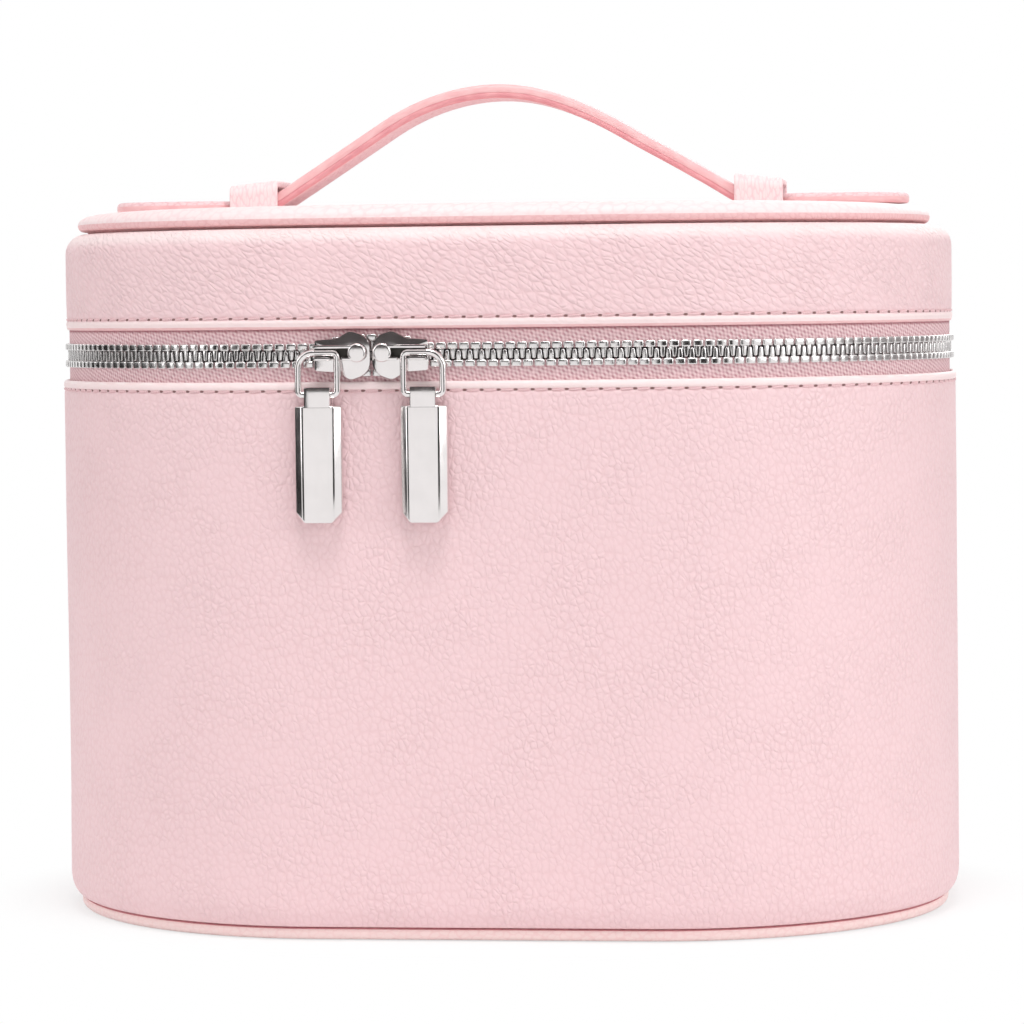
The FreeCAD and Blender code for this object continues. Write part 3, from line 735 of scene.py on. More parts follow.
def stitches(name, body, z, draw=0.0):
    """Row of threads round the case as far as the hinge, each dipping into the leather at its ends."""
    skin = Skin()
    count = int(STITCHED_HALF / STITCH_PITCH)
    for i in range(-count, count + 1):
        line = []
        for along, rise in WALL_BEND:
            point, out = CASE.place((i + along) * STITCH_PITCH)
            depth = THREAD_SINK + draw * out.x**2 - rise * MM
            line.append(behind(point, out, depth, z + along * STITCH_SLANT))
        skin.tube(line, THREAD, sides=6)
    dress(skin.build(name, [thread]), body, "leather")


stitches("lid_stitches", "lid", LID_EDGE_Z + LID_ROW, LID_DRAW)
stitches("body_stitches", "case_body", RIM_Z - BODY_ROW)


# Base

# Sides of the base's rim that take the seam's painted shade
SEAM_SHADE_SIDES = 4


def flat_panel(node, margin, radii, bends, step, seam=0, level=False):
    """Skin of a panel of the case's plan, its rim rounded and its middle closed.

    The last sides of the rim, by its seam, take a second material; on the base it is a darker tone that
    paints the seam's shade. A level panel is mapped from above.
    """
    low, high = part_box(node)
    inset = BODY_HIGH.x - high.x
    deep = inset + margin
    corners = [(deep, low.z), (inset, low.z), (inset, high.z), (deep, high.z)]
    profile = rounded(corners, [0, *radii, 0], bends)
    ways = spread(-CASE.half(), CASE.half(), step)
    rows = []
    for way in ways:
        point, out = CASE.place(way)
        rows.append([behind(point, out, *p) for p in profile])
    skin = Skin()
    skin.grid(rows, ways, lengths(profile), [0] * (len(profile) - 1 - seam) + [1] * seam)
    if level:
        skin.maps = [[skin.points[c].xy for c in face] for face in skin.faces]
    skin.close(rows)
    return skin


# The base's seam sides are darkened as painted shade under the body's foot.
base = flat_panel(
    "base_cover", margin=12 * MM, radii=(1.3 * MM, 1.2 * MM), bends=6, step=ROUND_STEP, seam=SEAM_SHADE_SIDES
)
dress(base.build("base_panel", [base_painted_light_leather, seam_painted_shade_leather]), "case_body", "leather", "base_cover")


# Padded top

KEEPER_LOW, KEEPER_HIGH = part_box("keeper_right")
DIMPLE, DIMPLE_WIDTH = 0.7 * MM, 1.8 * MM
PAD_INSET = BODY_HIGH.x - TOP_HIGH.x
PAD_SEAM, SEAM_DEPTH, SEAT_DEPTH = 0.5 * MM, 0.8 * MM, 1.2 * MM
PAD_RINGS, ROLL_STEPS, TUCK_STEPS = 48, 8, 6
FOAM_GAP = LEATHER + 0.2 * MM


def dome(x, y, crown):
    """Height of the top: a shallow dome that falls away at its ends, dimpled where the keepers go in."""
    z = crown - (x * x + y * y) / (2 * DOME_RADIUS) - END_FALL * (x / TOP_HIGH.x) ** 8
    away_x = max(KEEPER_LOW.x - abs(x), abs(x) - KEEPER_HIGH.x, 0.0)
    away_y = abs(abs(y) - KEEPER_HIGH.y + KEEPER_LEATHER / 2)
    return z - DIMPLE * bell(math.hypot(away_x, away_y), DIMPLE_WIDTH)


def pad(name, materials, inset, crown, roll, tuck, bulge):
    """Domed pad that rolls over its edge, is widest a bulge above its seat, and tucks in to a seam."""
    seat, seam = TOP_LOW.z, TOP_LOW.z + PAD_SEAM
    belly = seat + bulge
    ways = spread(-CASE.half(), CASE.half(), ROUND_STEP)
    upper = [math.pi / 2 * (1 - k / ROLL_STEPS) for k in range(ROLL_STEPS + 1)]
    lower = [-math.pi / 2 * (k + 1) / TUCK_STEPS for k in range(TUCK_STEPS)]
    shares = [k / PAD_RINGS for k in range(1, PAD_RINGS)]
    skin = Skin()
    rows, plan = [], []
    for way in ways:
        point, out = CASE.place(way)
        point -= out * out.x**2 * (PAD_DRAW_LEFT if out.x < 0 else PAD_DRAW_RIGHT)
        start = point - out * (inset + roll)
        inner = [(start.x * t, start.y * t) for t in shares]
        row = [Vector((x, y, dome(x, y, crown))) for x, y in inner]
        edge = dome(start.x, start.y, crown)
        rim = [(roll * (1 - math.cos(a)), belly + (edge - belly) * math.sin(a)) for a in upper]
        rim += [(tuck * (1 - math.cos(a)), belly + (belly - seam) * math.sin(a)) for a in lower]
        rim += [(tuck + SEAM_DEPTH, seam), (tuck + SEAT_DEPTH, seat)]
        row += [behind(point, out, inset + depth, z) for depth, z in rim]
        rows.append(row)
        plan += [p.xy for p in row[:len(shares)]]
        plan += [(start + out * run).xy for run in lengths(row[len(shares):])]
    # The roll's lower half and the tuck take the last material, on the top pad a darker painted shade.
    kinds = [0] * (len(shares) + len(upper) - 1)
    kinds += [len(materials) - 1] * (len(rows[0]) - 1 - len(kinds))
    skin.grid(rows, ways, lengths(rows[0]), kinds)
    skin.maps = [[plan[c] for c in face] for face in skin.faces]
    skin.close(rows)
    return skin.build(name, materials, sharp=60)


# The pad's top is painted paler as light from above, its tuck darker as shade.
top_pad = pad(
    "top_pad", [top_painted_light_leather, tuck_painted_shade_leather], inset=PAD_INSET, crown=TOP_HIGH.z,
    roll=4 * MM, tuck=1.3 * MM, bulge=2.0 * MM
)
dress(top_pad, "lid", "leather", "lid_top_panel")

foam_pad = pad(
    "foam_pad", [pad_foam], inset=PAD_INSET + FOAM_GAP + 0.6 * MM, crown=TOP_HIGH.z - FOAM_GAP,
    roll=3 * MM, tuck=1 * MM, bulge=1.6 * MM
)
dress(foam_pad, "lid", "foam", "lid_top_foam")


# Linings

CLOTH_STEP = 3 * MM
CLOTH_GAP, CLOTH_FOLD, CLOTH_PLAY = 0.1 * MM, 0.5 * MM, 0.05 * MM
FLOOR_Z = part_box("body_lining")[0].z
CEILING_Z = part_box("lid_wall_lining")[1].z
BOARD_RIM_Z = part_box("body_board")[1].z
BOARD_LID_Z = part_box("lid_wall_board")[0].z


def wall_lining(name, node, floor_z, board_z, body):
    """Cloth on the inner wall, turned over the board's open edge as far as the zip tape."""
    way = 1 if board_z > floor_z else -1
    fold = board_z + way * CLOTH_GAP
    edge = fold + way * CLOTH_FOLD
    out = BOARD_OUT + CLOTH_PLAY
    corners = [
        (LINING_OUT, floor_z), (LINING_OUT, fold), (out, fold),
        (out, edge), (LINING_IN, edge), (LINING_IN, floor_z),
    ]
    profile = rounded(corners, [0, 0, 0, 0.2 * MM, 0.7 * MM, 0], steps=4, closed=True)
    dress(shell(name, profile, [lining_cloth], step=CLOTH_STEP), body, "lining", node)


wall_lining("body_lining_cloth", "body_lining", FLOOR_Z, BOARD_RIM_Z, "case_body")
wall_lining("lid_lining_cloth", "lid_wall_lining", CEILING_Z, BOARD_LID_Z, "lid")
for name, node, body in (
    ("floor_cloth", "base_lining", "case_body"),
    ("ceiling_cloth", "lid_top_lining", "lid"),
):
    cloth = flat_panel(
        node, margin=20 * MM, radii=(0.35 * MM, 0.35 * MM), bends=4, step=CLOTH_STEP, level=True
    )
    dress(cloth.build(name, [lining_cloth]), body, "lining", node)


# Zip


def tape(name, node, body, material):
    """Woven band beside the teeth, its ends tucked behind the hinge panel."""
    low, high = (v.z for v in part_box(node))
    if high < ZIP_Z:
        high = ZIP_Z - TAPE_GAP
    else:
        low = ZIP_Z + TAPE_GAP
    corners = [(TAPE_OUT, low), (TAPE_OUT, high), (TAPE_IN, high), (TAPE_IN, low)]
    profile = rounded(corners, [0.2 * MM] * 4, steps=3, closed=True)
    ends = CASE.half() - TAPE_END_X + TAPE_TUCK
    dress(shell(name, profile, [material], ends), body, "tape", node)


tape("tape_lower", "zip_tape_lower", "case_body", lower_tape_cloth)
tape("tape_upper", "zip_tape_upper", "lid", upper_tape_cloth)


def stack(rings):
    """Work mesh of rings of points, joined one to the next and closed at both ends."""
    work = bmesh.new()
    loops = [[work.verts.new(point) for point in ring] for ring in rings]
    for a, b in zip(loops, loops[1:]):
        for i in range(len(a)):
            j = (i + 1) % len(a)
            work.faces.new((a[i], a[j], b[j], b[i]))
    work.faces.new(loops[0])
    work.faces.new(loops[-1])
    bmesh.ops.recalc_face_normals(work, faces=work.faces)
    return work


def soften(work, bevel, segments, angle=30):
    """Rounds the edges where faces meet at more than an angle."""
    limit = math.radians(angle)
    sharp = [e for e in work.edges if len(e.link_faces) == 2 and e.calc_face_angle() > limit]
    bmesh.ops.bevel(
        work, geom=sharp, offset=bevel, segments=segments,
        profile=0.5, affect="EDGES", clamp_overlap=True
    )


def rounded_prism(outline, low, high, bevel, segments=2):
    """Work mesh of an outline in x and z, thickened along y, its sharp edges rounded."""
    work = stack([[(x, y, z) for x, z in outline] for y in (low, high)])
    soften(work, bevel, segments)
    return work


def gather(name, works, materials):
    """One piece from several work meshes; with two materials the second is the last mesh's."""
    mesh = bpy.data.meshes.new(name)
    whole = bmesh.new()
    for face in works[-1].faces:
        face.material_index = len(materials) - 1
    for work in works:
        work.to_mesh(mesh)
        work.free()
        whole.from_mesh(mesh)
    whole.to_mesh(mesh)
    whole.free()
    return place_mesh(name, mesh, materials, sharp=35)


def tooth():
    """Parts of one tooth of the lower row: a broad root gripping the tape, and a slimmer head."""
    root, neck, tip = TOOTH_ROOT_WIDTH / 2, TOOTH_NECK_WIDTH / 2, TOOTH_TIP_WIDTH / 2
    block = [(root, -TOOTH_ROOT), (root, -TOOTH_WAIST)]
    head = [(neck, -TOOTH_WAIST - TOOTH_LAP), (neck, -TOOTH_NECK), (tip, TOOTH_REACH)]
    parts = []
    for right, depth, bevel in ((block, TOOTH_DEPTH, 0.35 * MM), (head, HEAD_DEPTH, 0.25 * MM)):
        outline = right + [(-x, z) for x, z in reversed(right)]
        parts.append(rounded_prism(outline, -depth / 2, depth / 2, bevel, segments=3))
    return parts


def parting(x):
    """How far each row stands back from the middle, round the posts of the two sliders."""
    full = TOOTH_REACH + POST_HEIGHT / 2 + PLAY
    flat = POST_LENGTH + TOOTH_PITCH
    t = clamp((SLIDER_LENGTH - abs(x - SLIDER_MEET_X)) / (SLIDER_LENGTH - flat))
    return full * t * t * (3 - 2 * t)


def teeth_row(name, upper):
    """Teeth round the case as far as the stops; the upper row hangs down, half a pitch on."""
    stop_way = CASE.half(TAPE_MIDDLE) - TAPE_END_X - STOP_SPACE - STOP_LENGTH / 2
    chain_half = stop_way - STOP_LENGTH / 2 - STOP_SPACE - TOOTH_ROOT_WIDTH / 4
    steps = int(chain_half / TOOTH_PITCH)
    shift = 0.25 if upper else -0.25
    works = []
    parts = tooth()
    for i in range(-steps, steps + 1):
        point, out = CASE.place((i + shift) * TOOTH_PITCH, TAPE_MIDDLE)
        z = ZIP_Z
        if point.y < 0 and abs(point.x) < FRONT_FLAT / 2:
            z += parting(point.x) * (1 if upper else -1)
        turn = Matrix.Rotation(math.atan2(out.x, -out.y), 4, "Z")
        if upper:
            turn = turn @ Matrix.Rotation(math.pi, 4, "Y")
        for part in parts:
            copy = part.copy()
            copy.transform(Matrix.Translation((point.x, point.y, z)) @ turn)
            works.append(copy)
    for part in parts:
        part.free()
    return gather(name, works, [tooth_nickel])


dress(teeth_row("teeth_lower", False), "case_body", "metal", "zip_teeth_lower")
dress(teeth_row("teeth_upper", True), "lid", "metal", "zip_teeth_upper")
coat("zip_stops_lower", tooth_nickel)
coat("zip_stops_upper", tooth_nickel)


# Sliders, bails and pulls, drawn for the right-hand one with its nose at x = 0


def slider_outline():
    """Plate outline from below the nose, round it and back along the slim tail."""
    half, tail = SLIDER_HEAD / 2, SLIDER_TAIL / 2
    upper = [(0.0, half * 0.72), (SLIDER_CHEEK, half), (SLIDER_WAIST, tail * 1.1), (SLIDER_LENGTH, tail)]
    lower = [(x, -z) for x, z in reversed(upper)]
    return rounded(lower + upper, SLIDER_BENDS[::-1] + SLIDER_BENDS, closed=True)


def cushion(outline, back, edge, front):
    """Work mesh of a plate that swells from its rim to a flat middle."""
    steps = [(1.0, back)] + [(share, edge + (front - edge) * rise) for share, rise in SLIDER_SWELL]
    middle = Vector((SLIDER_LENGTH * SLIDER_MIDDLE, 0))
    rings = []
    for share, y in steps:
        places = [middle + (p - middle) * share for p in outline]
        rings.append([(p.x, y, ZIP_Z + p.y) for p in places])
    return stack(rings)


def bar(x, y, z, bevel=0.2 * MM):
    """Work mesh of a block between pairs of limits, its edges rounded."""
    outline = [(x[0], z[0]), (x[1], z[0]), (x[1], z[1]), (x[0], z[1])]
    return rounded_prism(outline, *y, bevel)


def ring_outline(x, z, radius, count=28):
    turns = [2 * math.pi * k / count for k in range(count)]
    return [(x + radius * math.cos(a), z + radius * math.sin(a)) for a in turns]


def slider_parts():
    """Two plates on a post, a bridge of boss, rails and lug that holds the wire, and last a dark plate
    inside the bridge that paints its shade.
    """
    plate = slider_outline()
    lug_half = WIRE / 2 + LUG_WALL
    front_y = BAIL_Y - lug_half
    root_y = PLATE_FRONT_Y - SLIDER_PLATE / 2
    plate_y = PLATE_FRONT_Y - SLIDER_PLATE
    lug_right = BAIL_X + LUG_SHIFT
    lug_left = lug_right - LUG_WIDTH
    leg = BAIL_X - BAIL_WIDTH / 2
    clear = WIRE / 2 + PLAY
    low_z, high_z = BAIL_Z - lug_half, BAIL_Z + lug_half
    post_z = ZIP_Z - POST_HEIGHT / 2, ZIP_Z + POST_HEIGHT / 2
    parts = [
        cushion(plate, PLATE_FRONT_Y, PLATE_FRONT_Y - SLIDER_RIM, plate_y),
        cushion(plate, PLATE_BACK_Y, PLATE_BACK_Y + SLIDER_RIM, PLATE_BACK_Y + SLIDER_PLATE),
        bar((PLAY, POST_LENGTH), (root_y, PLATE_BACK_Y + SLIDER_PLATE / 2), post_z),
        rounded_prism(
            ring_outline(POST_LENGTH, BAIL_Z, BOSS / 2), front_y, root_y, bevel=0.6 * MM, segments=4
        ),
    ]
    rails = [
        (POST_LENGTH, lug_right, high_z - LUG_RAIL, high_z),
        (POST_LENGTH, leg - clear, low_z, low_z + LUG_RAIL),
        (lug_left, lug_right, low_z, low_z + LUG_RAIL),
    ]
    for left, right, low, high in rails:
        parts.append(bar((left, right), (front_y + RAIL_STEP, root_y), (low, high), bevel=0.25 * MM))
    # Dark plate at the bridge's floor: painted shade of the tunnel under the rails.
    shade_plate_y = plate_y - SHADE_PLATE_LIFT, plate_y + SHADE_PLATE_SINK
    shade_plate_z = low_z + LUG_RAIL / 2, high_z - LUG_RAIL / 2
    parts.append(bar((POST_LENGTH, lug_right), shade_plate_y, shade_plate_z, bevel=0.03 * MM))
    return parts


def bail_line():
    """Middle line of the wire loop, from one turned-in end to the other."""
    inner_x, outer_x = BAIL_X - BAIL_WIDTH / 2, BAIL_X + BAIL_WIDTH / 2
    pin = (BAIL_WIDTH - PIN_GAP) / 2
    corners = [
        (inner_x + pin, PIN_Z), (inner_x, PIN_Z), (inner_x, BAIL_Z),
        (outer_x, BAIL_Z), (outer_x, PIN_Z), (outer_x - pin, PIN_Z),
    ]
    bends = [0, BAIL_INNER_BEND, BAIL_INNER_BEND, BAIL_OUTER_BEND, BAIL_INNER_BEND, 0]
    return [Vector((p.x, BAIL_Y, p.y)) for p in rounded(corners, bends, steps=10)]


def pull_parts():
    """Bar with a flat face, bevelled flanks and cut lower corners, and a neck flush with the face."""
    back = BAIL_Y + PULL_THICKNESS / 2
    step, front = back - PULL_EDGE, back - PULL_THICKNESS
    half, face = PULL_WIDTH / 2, PULL_FACE / 2
    shoulder, end = PIN_Z - PULL_SHOULDER, PIN_Z - PULL_LENGTH
    cut = half - PULL_CORNER
    work = bmesh.new()
    for width, z in ((half, shoulder), (half, end + PULL_CORNER), (face, end + face - cut), (cut, end)):
        flank = step if width > face else front
        for x, y in ((width, back), (width, flank), (min(width, face), front)):
            work.verts.new((BAIL_X - x, y, z))
            work.verts.new((BAIL_X + x, y, z))
    bmesh.ops.remove_doubles(work, verts=work.verts, dist=1e-6)
    bmesh.ops.convex_hull(work, input=work.verts)
    bmesh.ops.dissolve_limit(work, angle_limit=0.02, verts=work.verts, edges=work.edges)
    soften(work, bevel=0.45 * MM, segments=4, angle=20)
    head = PIN_Z + WIRE / 2 + LUG_WALL
    neck_x = BAIL_X - PULL_NECK / 2, BAIL_X + PULL_NECK / 2
    neck_y = front + NECK_FRONT_STEP, back - NECK_BACK_STEP
    return [work, bar(neck_x, neck_y, (shoulder - NECK_LAP, head), bevel=0.25 * MM)]


def on_side(piece, side):
    """Moves a piece drawn at the nose to the left or right slider."""
    piece.data.transform(Matrix.Scale(side, 4, (1, 0, 0)))
    if side < 0:
        piece.data.flip_normals()
    piece.data.transform(Matrix.Translation((SLIDER_MEET_X + side * NOSE_GAP / 2, 0, 0)))
    return piece


for word, side in SIDES:
    slider = on_side(gather("slider_" + word, slider_parts(), [nickel, bridge_painted_shade]), side)
    dress(slider, "slider_" + word, "metal", "zip_slider_" + word)
    wire = Skin()
    wire.tube(bail_line(), WIRE / 2, sides=14)
    loop = on_side(wire.build("bail_" + word, [nickel]), side)
    dress(loop, "bail_" + word, "metal", "pull_bail_" + word)
    pull = on_side(gather("pull_" + word, pull_parts(), [nickel]), side)
    dress(pull, "pull_" + word, "metal", "pull_tab_" + word)


# Hinge

HINGE_CORNER = 6 * MM
HINGE_MARGIN = 2.6 * MM
CORNER_LEVELS = 0.0, 0.15 * MM, 0.4 * MM, 1 * MM, 2 * MM, 3.5 * MM


def bending_strip(name, node, material, rounding):
    """Round-cornered strip across the back, divided finely."""
    low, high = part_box(node)
    corner = HINGE_CORNER
    half_w, thick, middle = high.x, high.y - low.y, (low.y + high.y) / 2
    levels = [low.z + d for d in CORNER_LEVELS]
    levels += spread(low.z + corner, high.z - corner, 1 * MM)
    levels += [high.z - d for d in reversed(CORNER_LEVELS)]
    skin = Skin()
    rows = []
    for z in levels:
        depth = min(z - low.z, high.z - z)
        cut = corner - math.sqrt(corner**2 - max(corner - depth, 0.0) ** 2)
        slim = rounding * (1 - math.sqrt(max(0.0, 1 - max(0.0, 1 - depth / rounding) ** 2)))
        w, t = half_w - cut, thick / 2 - slim
        xs = spread(-w + rounding, w - rounding, (2 * w) / 24)
        plan = [(x, t) for x in xs] + [(w, 0)] + [(x, -t) for x in reversed(xs)] + [(-w, 0)]
        rows.append([Vector((x, middle + y, z)) for x, y in plan])
    us = [z - low.z for z in levels]
    skin.grid(rows, us, lengths(rows[len(rows) // 2], closed=True), wrap=True)
    for row in (rows[0], rows[-1]):
        skin.cap(row, [(p.x, p.z) for p in row])
    return skin.build(name, [material], sharp=60)


def bends_with_lid(piece, slot, *replaced):
    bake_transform(piece)
    stand_for(piece, slot, *replaced)


for name, node, material, rounding, slot in (
    ("hinge_leather", "hinge_panel", trim_leather, 0.4 * MM, "leather"),
    ("gusset_cloth", "hinge_gusset", lining_cloth, 0.25 * MM, "lining"),
):
    bends_with_lid(bending_strip(name, node, material, rounding), slot, node)


def hinge_stitches():
    """Threads round the hinge panel, a margin inside its edge."""
    width, height = HINGE_HIGH.x - HINGE_LOW.x, HINGE_HIGH.z - HINGE_LOW.z
    seam = Outline(width - 2 * HINGE_CORNER, height - 2 * HINGE_CORNER, HINGE_CORNER - HINGE_MARGIN)
    middle = (HINGE_LOW.z + HINGE_HIGH.z) / 2
    half = seam.half()
    count = round(2 * half / STITCH_PITCH)
    pitch = 2 * half / count
    skin = Skin()
    for i in range(count):
        line = []
        for along, rise in HINGE_BEND:
            way = (i + along) * pitch
            point = seam.place((way + half) % (2 * half) - half)[0]
            line.append(Vector((point.x, HINGE_HIGH.y + rise * MM, middle + point.y)))
        skin.tube(line, THREAD, sides=6)
    return skin.build("hinge_stitches", [thread])


bends_with_lid(hinge_stitches(), "leather")


# Handle


def strap_line():
    """Middle line of the arch from its right end to its crown."""
    peak = STRAP_BEND_X * math.tan(RAMP_ANGLE)
    crown = (peak - ARCH_RISE) / (1 / math.cos(RAMP_ANGLE) - 1)
    corners = [(STRAP_SPLIT_X, 0), (STRAP_BEND_X, 0), (0, peak), (-STRAP_BEND_X, 0)]
    line = rounded(corners, [0, STRAP_BEND, crown, 0], steps=24)
    return divided([p for p in line if p.x >= -1e-9], 1.5 * MM)


def strap_section(half_w, half_t):
    """Strap outline across its length: crowned top, painted edges with a line where the layers meet."""
    flat = half_w - EDGE_WIDTH
    across = spread(-flat, flat, 2.2 * MM)
    top = [(y, half_t + STRAP_CROWN * (1 - (y / half_w) ** 2)) for y in reversed(across)]
    left = [(-flat - EDGE_WIDTH * a, half_t * b) for a, b in STRAP_SIDE]
    under = [(y, -half_t) for y in across]
    right = [(flat + EDGE_WIDTH * a, half_t * b) for a, b in reversed(STRAP_SIDE)]
    bands = [1] * 4 + [2] * 5
    kinds = [0] * (len(top) - 1) + bands + [0] * (len(under) - 1) + bands[::-1]
    return top + left + under + right, kinds


def sag(x):
    """How much lower the right shoulder of the arch hangs than the left."""
    return SAG * clamp((STRAP_BEND_X - abs(x)) / STRAP_BEND) * bell(x - SAG_X, SAG_WIDTH)


def strap_half(word, side):
    """Half of the arch, thinner where it meets its flared end, bending between the two."""
    line = strap_line()
    skin = Skin()
    rows = []
    for i, here in enumerate(line):
        ahead = ahead_at(line, i) if i < len(line) - 1 else Vector((-1, 0))
        up = Vector((ahead.y, -ahead.x))
        thin = clamp((here.x - STRAP_BEND_X) / (STRAP_SPLIT_X - STRAP_BEND_X))
        half_t = (STRAP - (STRAP - TAB) * thin) / 2
        middle = here.y + STRAP_Z + STRAP / 2 - (STRAP - TAB) / 2 * thin
        middle -= sag(side * here.x)
        section, kinds = strap_section(STRAP_WIDTH / 2, half_t)
        rows.append([Vector((side * (here.x + up.x * t), y, middle + up.y * t)) for y, t in section])
    skin.band(rows, lengths(line), section, kinds, ends=(0,))
    piece = skin.build("strap_" + word, [strap_leather, edge_paint, lower_paint], sharp=50)
    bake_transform(piece)
    stand_for(piece, "strap_leather", "handle_strap")


for word, side in SIDES:
    strap_half(word, side)


def slab(outline, low, high):
    """Skin of a flat piece with a rounded, painted edge all round."""
    count = len(outline)
    inward = []
    for i in range(count):
        run = (outline[(i + 1) % count] - outline[i - 1]).normalized()
        inward.append(Vector((-run.y, run.x)))
    middle, half = (low + high) / 2, (high - low) / 2
    side = [(EDGE_WIDTH * share, half * lift) for share, lift in TAB_SIDE]
    rows = []
    for inset, lift in side:
        rows.append([Vector((*(p + n * inset), middle + lift)) for p, n in zip(outline, inward)])
    ring = [list(r) for r in zip(*rows)]
    ring.append(ring[0])
    skin = Skin()
    skin.grid(ring, lengths(outline, closed=True), lengths(side), [0] * 4 + [1] * 6 + [0])
    for row in (rows[0], rows[-1]):
        skin.cap(row)
    return skin


def tab_outline(side):
    """Neck that laps under the strap, flared shoulders and round end, anticlockwise."""
    half, neck = TAB_WIDTH / 2, STRAP_WIDTH / 2 - 0.15 * MM
    start, flare, bend = STRAP_SPLIT_X - TAB_LAP, 2.5 * MM, 1.7 * MM
    turn = [math.pi / 2 * (k / 14 - 1) for k in range(29)]
    centre = TAB_END_X - half
    corners = [(start, -neck), (TAB_SHOULDER_X - flare, -neck), (TAB_SHOULDER_X, -half), (centre, -half)]
    lower = rounded(corners, [0, bend, bend, 0], steps=8)[:-1]
    end = [Vector((centre + half * math.cos(a), half * math.sin(a))) for a in turn]
    upper = [Vector((p.x, -p.y)) for p in reversed(lower)]
    close = [Vector((start, -y)) for y in spread(-neck, neck, 3 * MM)[1:-1]]
    points = lower + end + upper + close
    if side < 0:
        points = [Vector((-p.x, p.y)) for p in reversed(points)]
    return points


for word, side in SIDES:
    low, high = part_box("handle_tab_" + word)
    skin = slab(tab_outline(side), low.z, high.z)
    tab = skin.build("tab_" + word, [strap_leather, edge_paint], sharp=50)
    dress(tab, "handle_end_" + word, "strap_leather", "handle_tab_" + word)


def keeper_loop(word, side):
    """Leather loop over the strap, its crest raised towards the arch."""
    foot = TOP_LOW.z
    half_y, top = KEEPER_HIGH.y - KEEPER_LEATHER / 2, KEEPER_HIGH.z - KEEPER_LEATHER / 2
    corners = [(-half_y, foot), (-half_y, top), (half_y, top), (half_y, foot)]
    line = divided(rounded(corners, [0, KEEPER_BEND, KEEPER_BEND, 0]), 1 * MM)
    middle, half_x = (KEEPER_LOW.x + KEEPER_HIGH.x) / 2, (KEEPER_HIGH.x - KEEPER_LOW.x) / 2
    half_t = KEEPER_LEATHER / 2
    corners = [(-half_x, -half_t), (half_x, -half_t), (half_x, half_t), (-half_x, half_t)]
    band = rounded(corners, [0.45 * MM] * 4, steps=4, closed=True)
    skin = Skin()
    rows = []
    for i, here in enumerate(line):
        ahead = ahead_at(line, i)
        out = Vector((-ahead.y, ahead.x))
        row = []
        for p in band:
            spot = here + out * p.y
            share = max(0.0, (spot.y - STRAP_Z) / (top - STRAP_Z))
            row.append(Vector((side * (middle + p.x), spot.x, spot.y - KEEPER_TILT * p.x * share)))
        rows.append(row)
    skin.band(rows, lengths(line), band)
    loop = skin.build("keeper_loop_" + word, [loop_leather], sharp=50)
    dress(loop, "lid", "leather", "keeper_" + word)


for word, side in SIDES:
    keeper_loop(word, side)


# Mirror in the lid


def mitred(point, out, inset, outer):
    """Point set in from a tightly rounded outline, kept square inside the corner's centre."""
    spot = point - out * min(inset, outer.radius)
    extra = max(0.0, inset - outer.radius)
    limit_x, limit_y = outer.flat / 2 - extra, outer.side / 2 - extra
    if extra:
        spot.x = max(-limit_x, min(limit_x, spot.x))
        spot.y = max(-limit_y, min(limit_y, spot.y))
    return spot.xy


def frame_ring():
    """Leather frame: a soft bead round the glass, its lip under the edge."""
    low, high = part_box("mirror_frame")
    corner, edge, width = 4 * MM, 4 * MM, 7 * MM
    outer = Outline(high.x - low.x - 2 * corner, high.y - low.y - 2 * corner, corner)
    glass_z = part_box("lid_mirror")[0].z
    corners = [
        (0, high.z), (0, low.z), (width, low.z),
        (width, glass_z), (edge, glass_z), (edge, high.z),
    ]
    radii = [0.3 * MM, 1.6 * MM, 0.35 * MM, 0.2 * MM, 0, 0.3 * MM]
    profile = rounded(corners, radii, steps=5, closed=True)
    ways = spread(-outer.half(), outer.half(), 1.2 * MM)
    rows = []
    for way in ways:
        point, out = outer.place(way)
        rows.append([Vector((*mitred(point, out, p.x, outer), p.y)) for p in profile])
    skin = Skin()
    skin.band(rows, ways, profile, ends=())
    bead = skin.build("mirror_bead", [trim_leather], sharp=50)
    dress(bead, "lid", "leather", "mirror_frame")


frame_ring()
coat("lid_mirror", mirror_glass)
for node in ("body_board", "base_board", "lid_wall_board", "lid_top_board"):
    coat(node, greyboard)


# Floor, light and camera

LAMP_AIM = (0, 0, 0.1)
CARD_AIM = (SLIDER_MEET_X, -DEPTH / 2, 0.12)
CARD_REACH = 0.19
FLOOR_SIZE = 12
FLOOR_DROP = 0.2 * MM
FLOOR_FADE = 0.95, 1.3
FLOOR_LEAST = 0.65


def shown_white(graph):
    """One where the camera, a gloss or a glass looks straight at a surface, else nought."""
    path = graph.add("LightPath", {})
    either = graph.math("MAXIMUM", path["Is Camera Ray"], path["Is Glossy Ray"])
    return graph.math("MAXIMUM", either, path["Is Transmission Ray"])


def white_world(ambient):
    """White where it is seen, and a dimmer light from all round."""
    scene.world = bpy.data.worlds.new("studio")
    graph = Graph(scene.world)
    back = graph.tree.nodes["Background"]
    back.inputs["Color"].default_value = (1, 1, 1, 1)
    level = graph.add("MapRange", {"Value": shown_white(graph), "To Min": ambient})[0]
    graph.tree.links.new(level, back.inputs["Strength"])


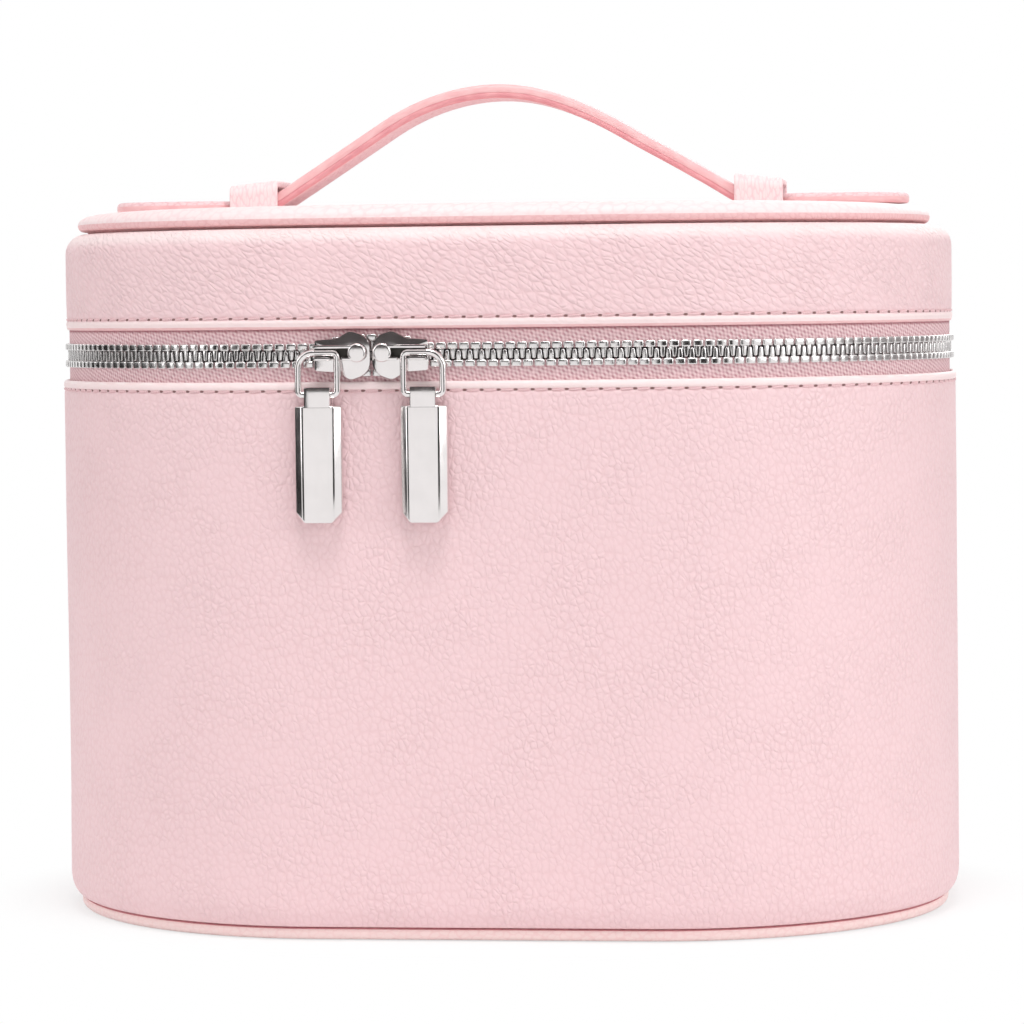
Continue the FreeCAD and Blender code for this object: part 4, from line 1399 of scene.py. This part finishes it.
def white_floor():
    """Pale floor that fades to the white of the backdrop away from the case."""
    bpy.ops.mesh.primitive_plane_add(size=FLOOR_SIZE, location=(0, 0, -FLOOR_DROP))
    floor = bpy.context.object
    floor.name = "floor"
    graph = Graph(bpy.data.materials.new("floor"))
    graph.tree.nodes.remove(graph.tree.nodes["Principled BSDF"])
    paint = graph.add("BsdfDiffuse", {"Color": (0.93, 0.93, 0.93, 1)})[0]
    glow = graph.add("Emission", {})[0]
    plan = graph.turned(graph.add("TexCoord", {})["Object"], 0.0, (WIDTH / 2, DEPTH / 2, 1))
    away = graph.add("VectorMath", {0: plan}, operation="LENGTH")["Value"]
    share = graph.math("MULTIPLY", graph.rise(away, *FLOOR_FADE, FLOOR_LEAST), shown_white(graph))
    graph.show(graph.add("MixShader", {0: share, 1: paint, 2: glow})[0])
    floor.data.materials.append(graph.owner)


def put(name, data, location, target, roll=0.0):
    """New object at a place, looking at a target, turned about its line of sight."""
    item = bpy.data.objects.new(name, data)
    look = (Vector(target) - Vector(location)).to_track_quat("-Z", "Y")
    item.location = location
    item.rotation_euler = (look.to_matrix() @ Matrix.Rotation(roll, 3, "Z")).to_euler()
    scene.collection.objects.link(item)
    return item


def lamp(name, location, size, power):
    """Round soft light, turned to the case."""
    light = bpy.data.lights.new(name, "AREA")
    light.shape = "DISK"
    light.size = size
    light.energy = power
    put(name, light, location, LAMP_AIM)


def dark_card(name, location, size, shade):
    """Dark card that only shiny surfaces near by see, turned to face the pulls."""
    mesh = bpy.data.meshes.new(name)
    x, y = size[0] / 2, size[1] / 2
    mesh.from_pydata([(-x, -y, 0), (x, -y, 0), (x, y, 0), (-x, y, 0)], [], [(0, 1, 2, 3)])
    card = put(name, mesh, location, CARD_AIM)
    card.visible_camera = card.visible_diffuse = card.visible_shadow = False
    s = Shader(name, Base_Color=(shade, shade, shade, 1), Roughness=1.0)
    near = s.math("LESS_THAN", s.add("LightPath", {})["Ray Length"], CARD_REACH)
    clear = s.add("BsdfTransparent", {})[0]
    s.show(s.add("MixShader", {0: near, 1: clear, 2: s.main.outputs[0]})[0])
    mesh.materials.append(s.owner)


white_world(ambient=0.48)
white_floor()
lamp("key", (1.2, -0.75, 0.6), size=0.9, power=6.2)
lamp("fill", (-1.25, -0.5, 0.5), size=0.9, power=3.6)
lamp("top", (0.05, -0.45, 1.2), size=0.5, power=6.2)
lamp("back", (0.35, 1.2, 0.8), size=0.9, power=4)
dark_card("card_left", (-0.156, -0.058, 0.125), size=(0.11, 0.105), shade=0.015)
dark_card("card_near_left", (-0.111, -0.157, 0.125), size=(0.065, 0.105), shade=0.015)
dark_card("card_right", (0.069, -0.172, 0.125), size=(0.075, 0.09), shade=0.015)
dark_card("card_far_right", (0.22, 0.0, 0.13), size=(0.2, 0.12), shade=0.4)
dark_card("card_high", (-0.024, -0.142, 0.165), size=(0.1, 0.06), shade=0.08)

CAMERA_PLACE = (0.1065, -0.9375, 0.1414)
CAMERA_AIM = (0.0, 0.0, 0.1085)
CAMERA_ROLL = -0.0113
CAMERA_SENSOR = 36
CAMERA_LENS = 139.46
CAMERA_SHIFT = -0.0721
camera = bpy.data.cameras.new("camera")
camera.sensor_width = CAMERA_SENSOR
camera.lens = CAMERA_LENS
camera.shift_y = CAMERA_SHIFT
scene.camera = put("camera", camera, CAMERA_PLACE, CAMERA_AIM, CAMERA_ROLL)

scene.view_settings.view_transform = "Standard"
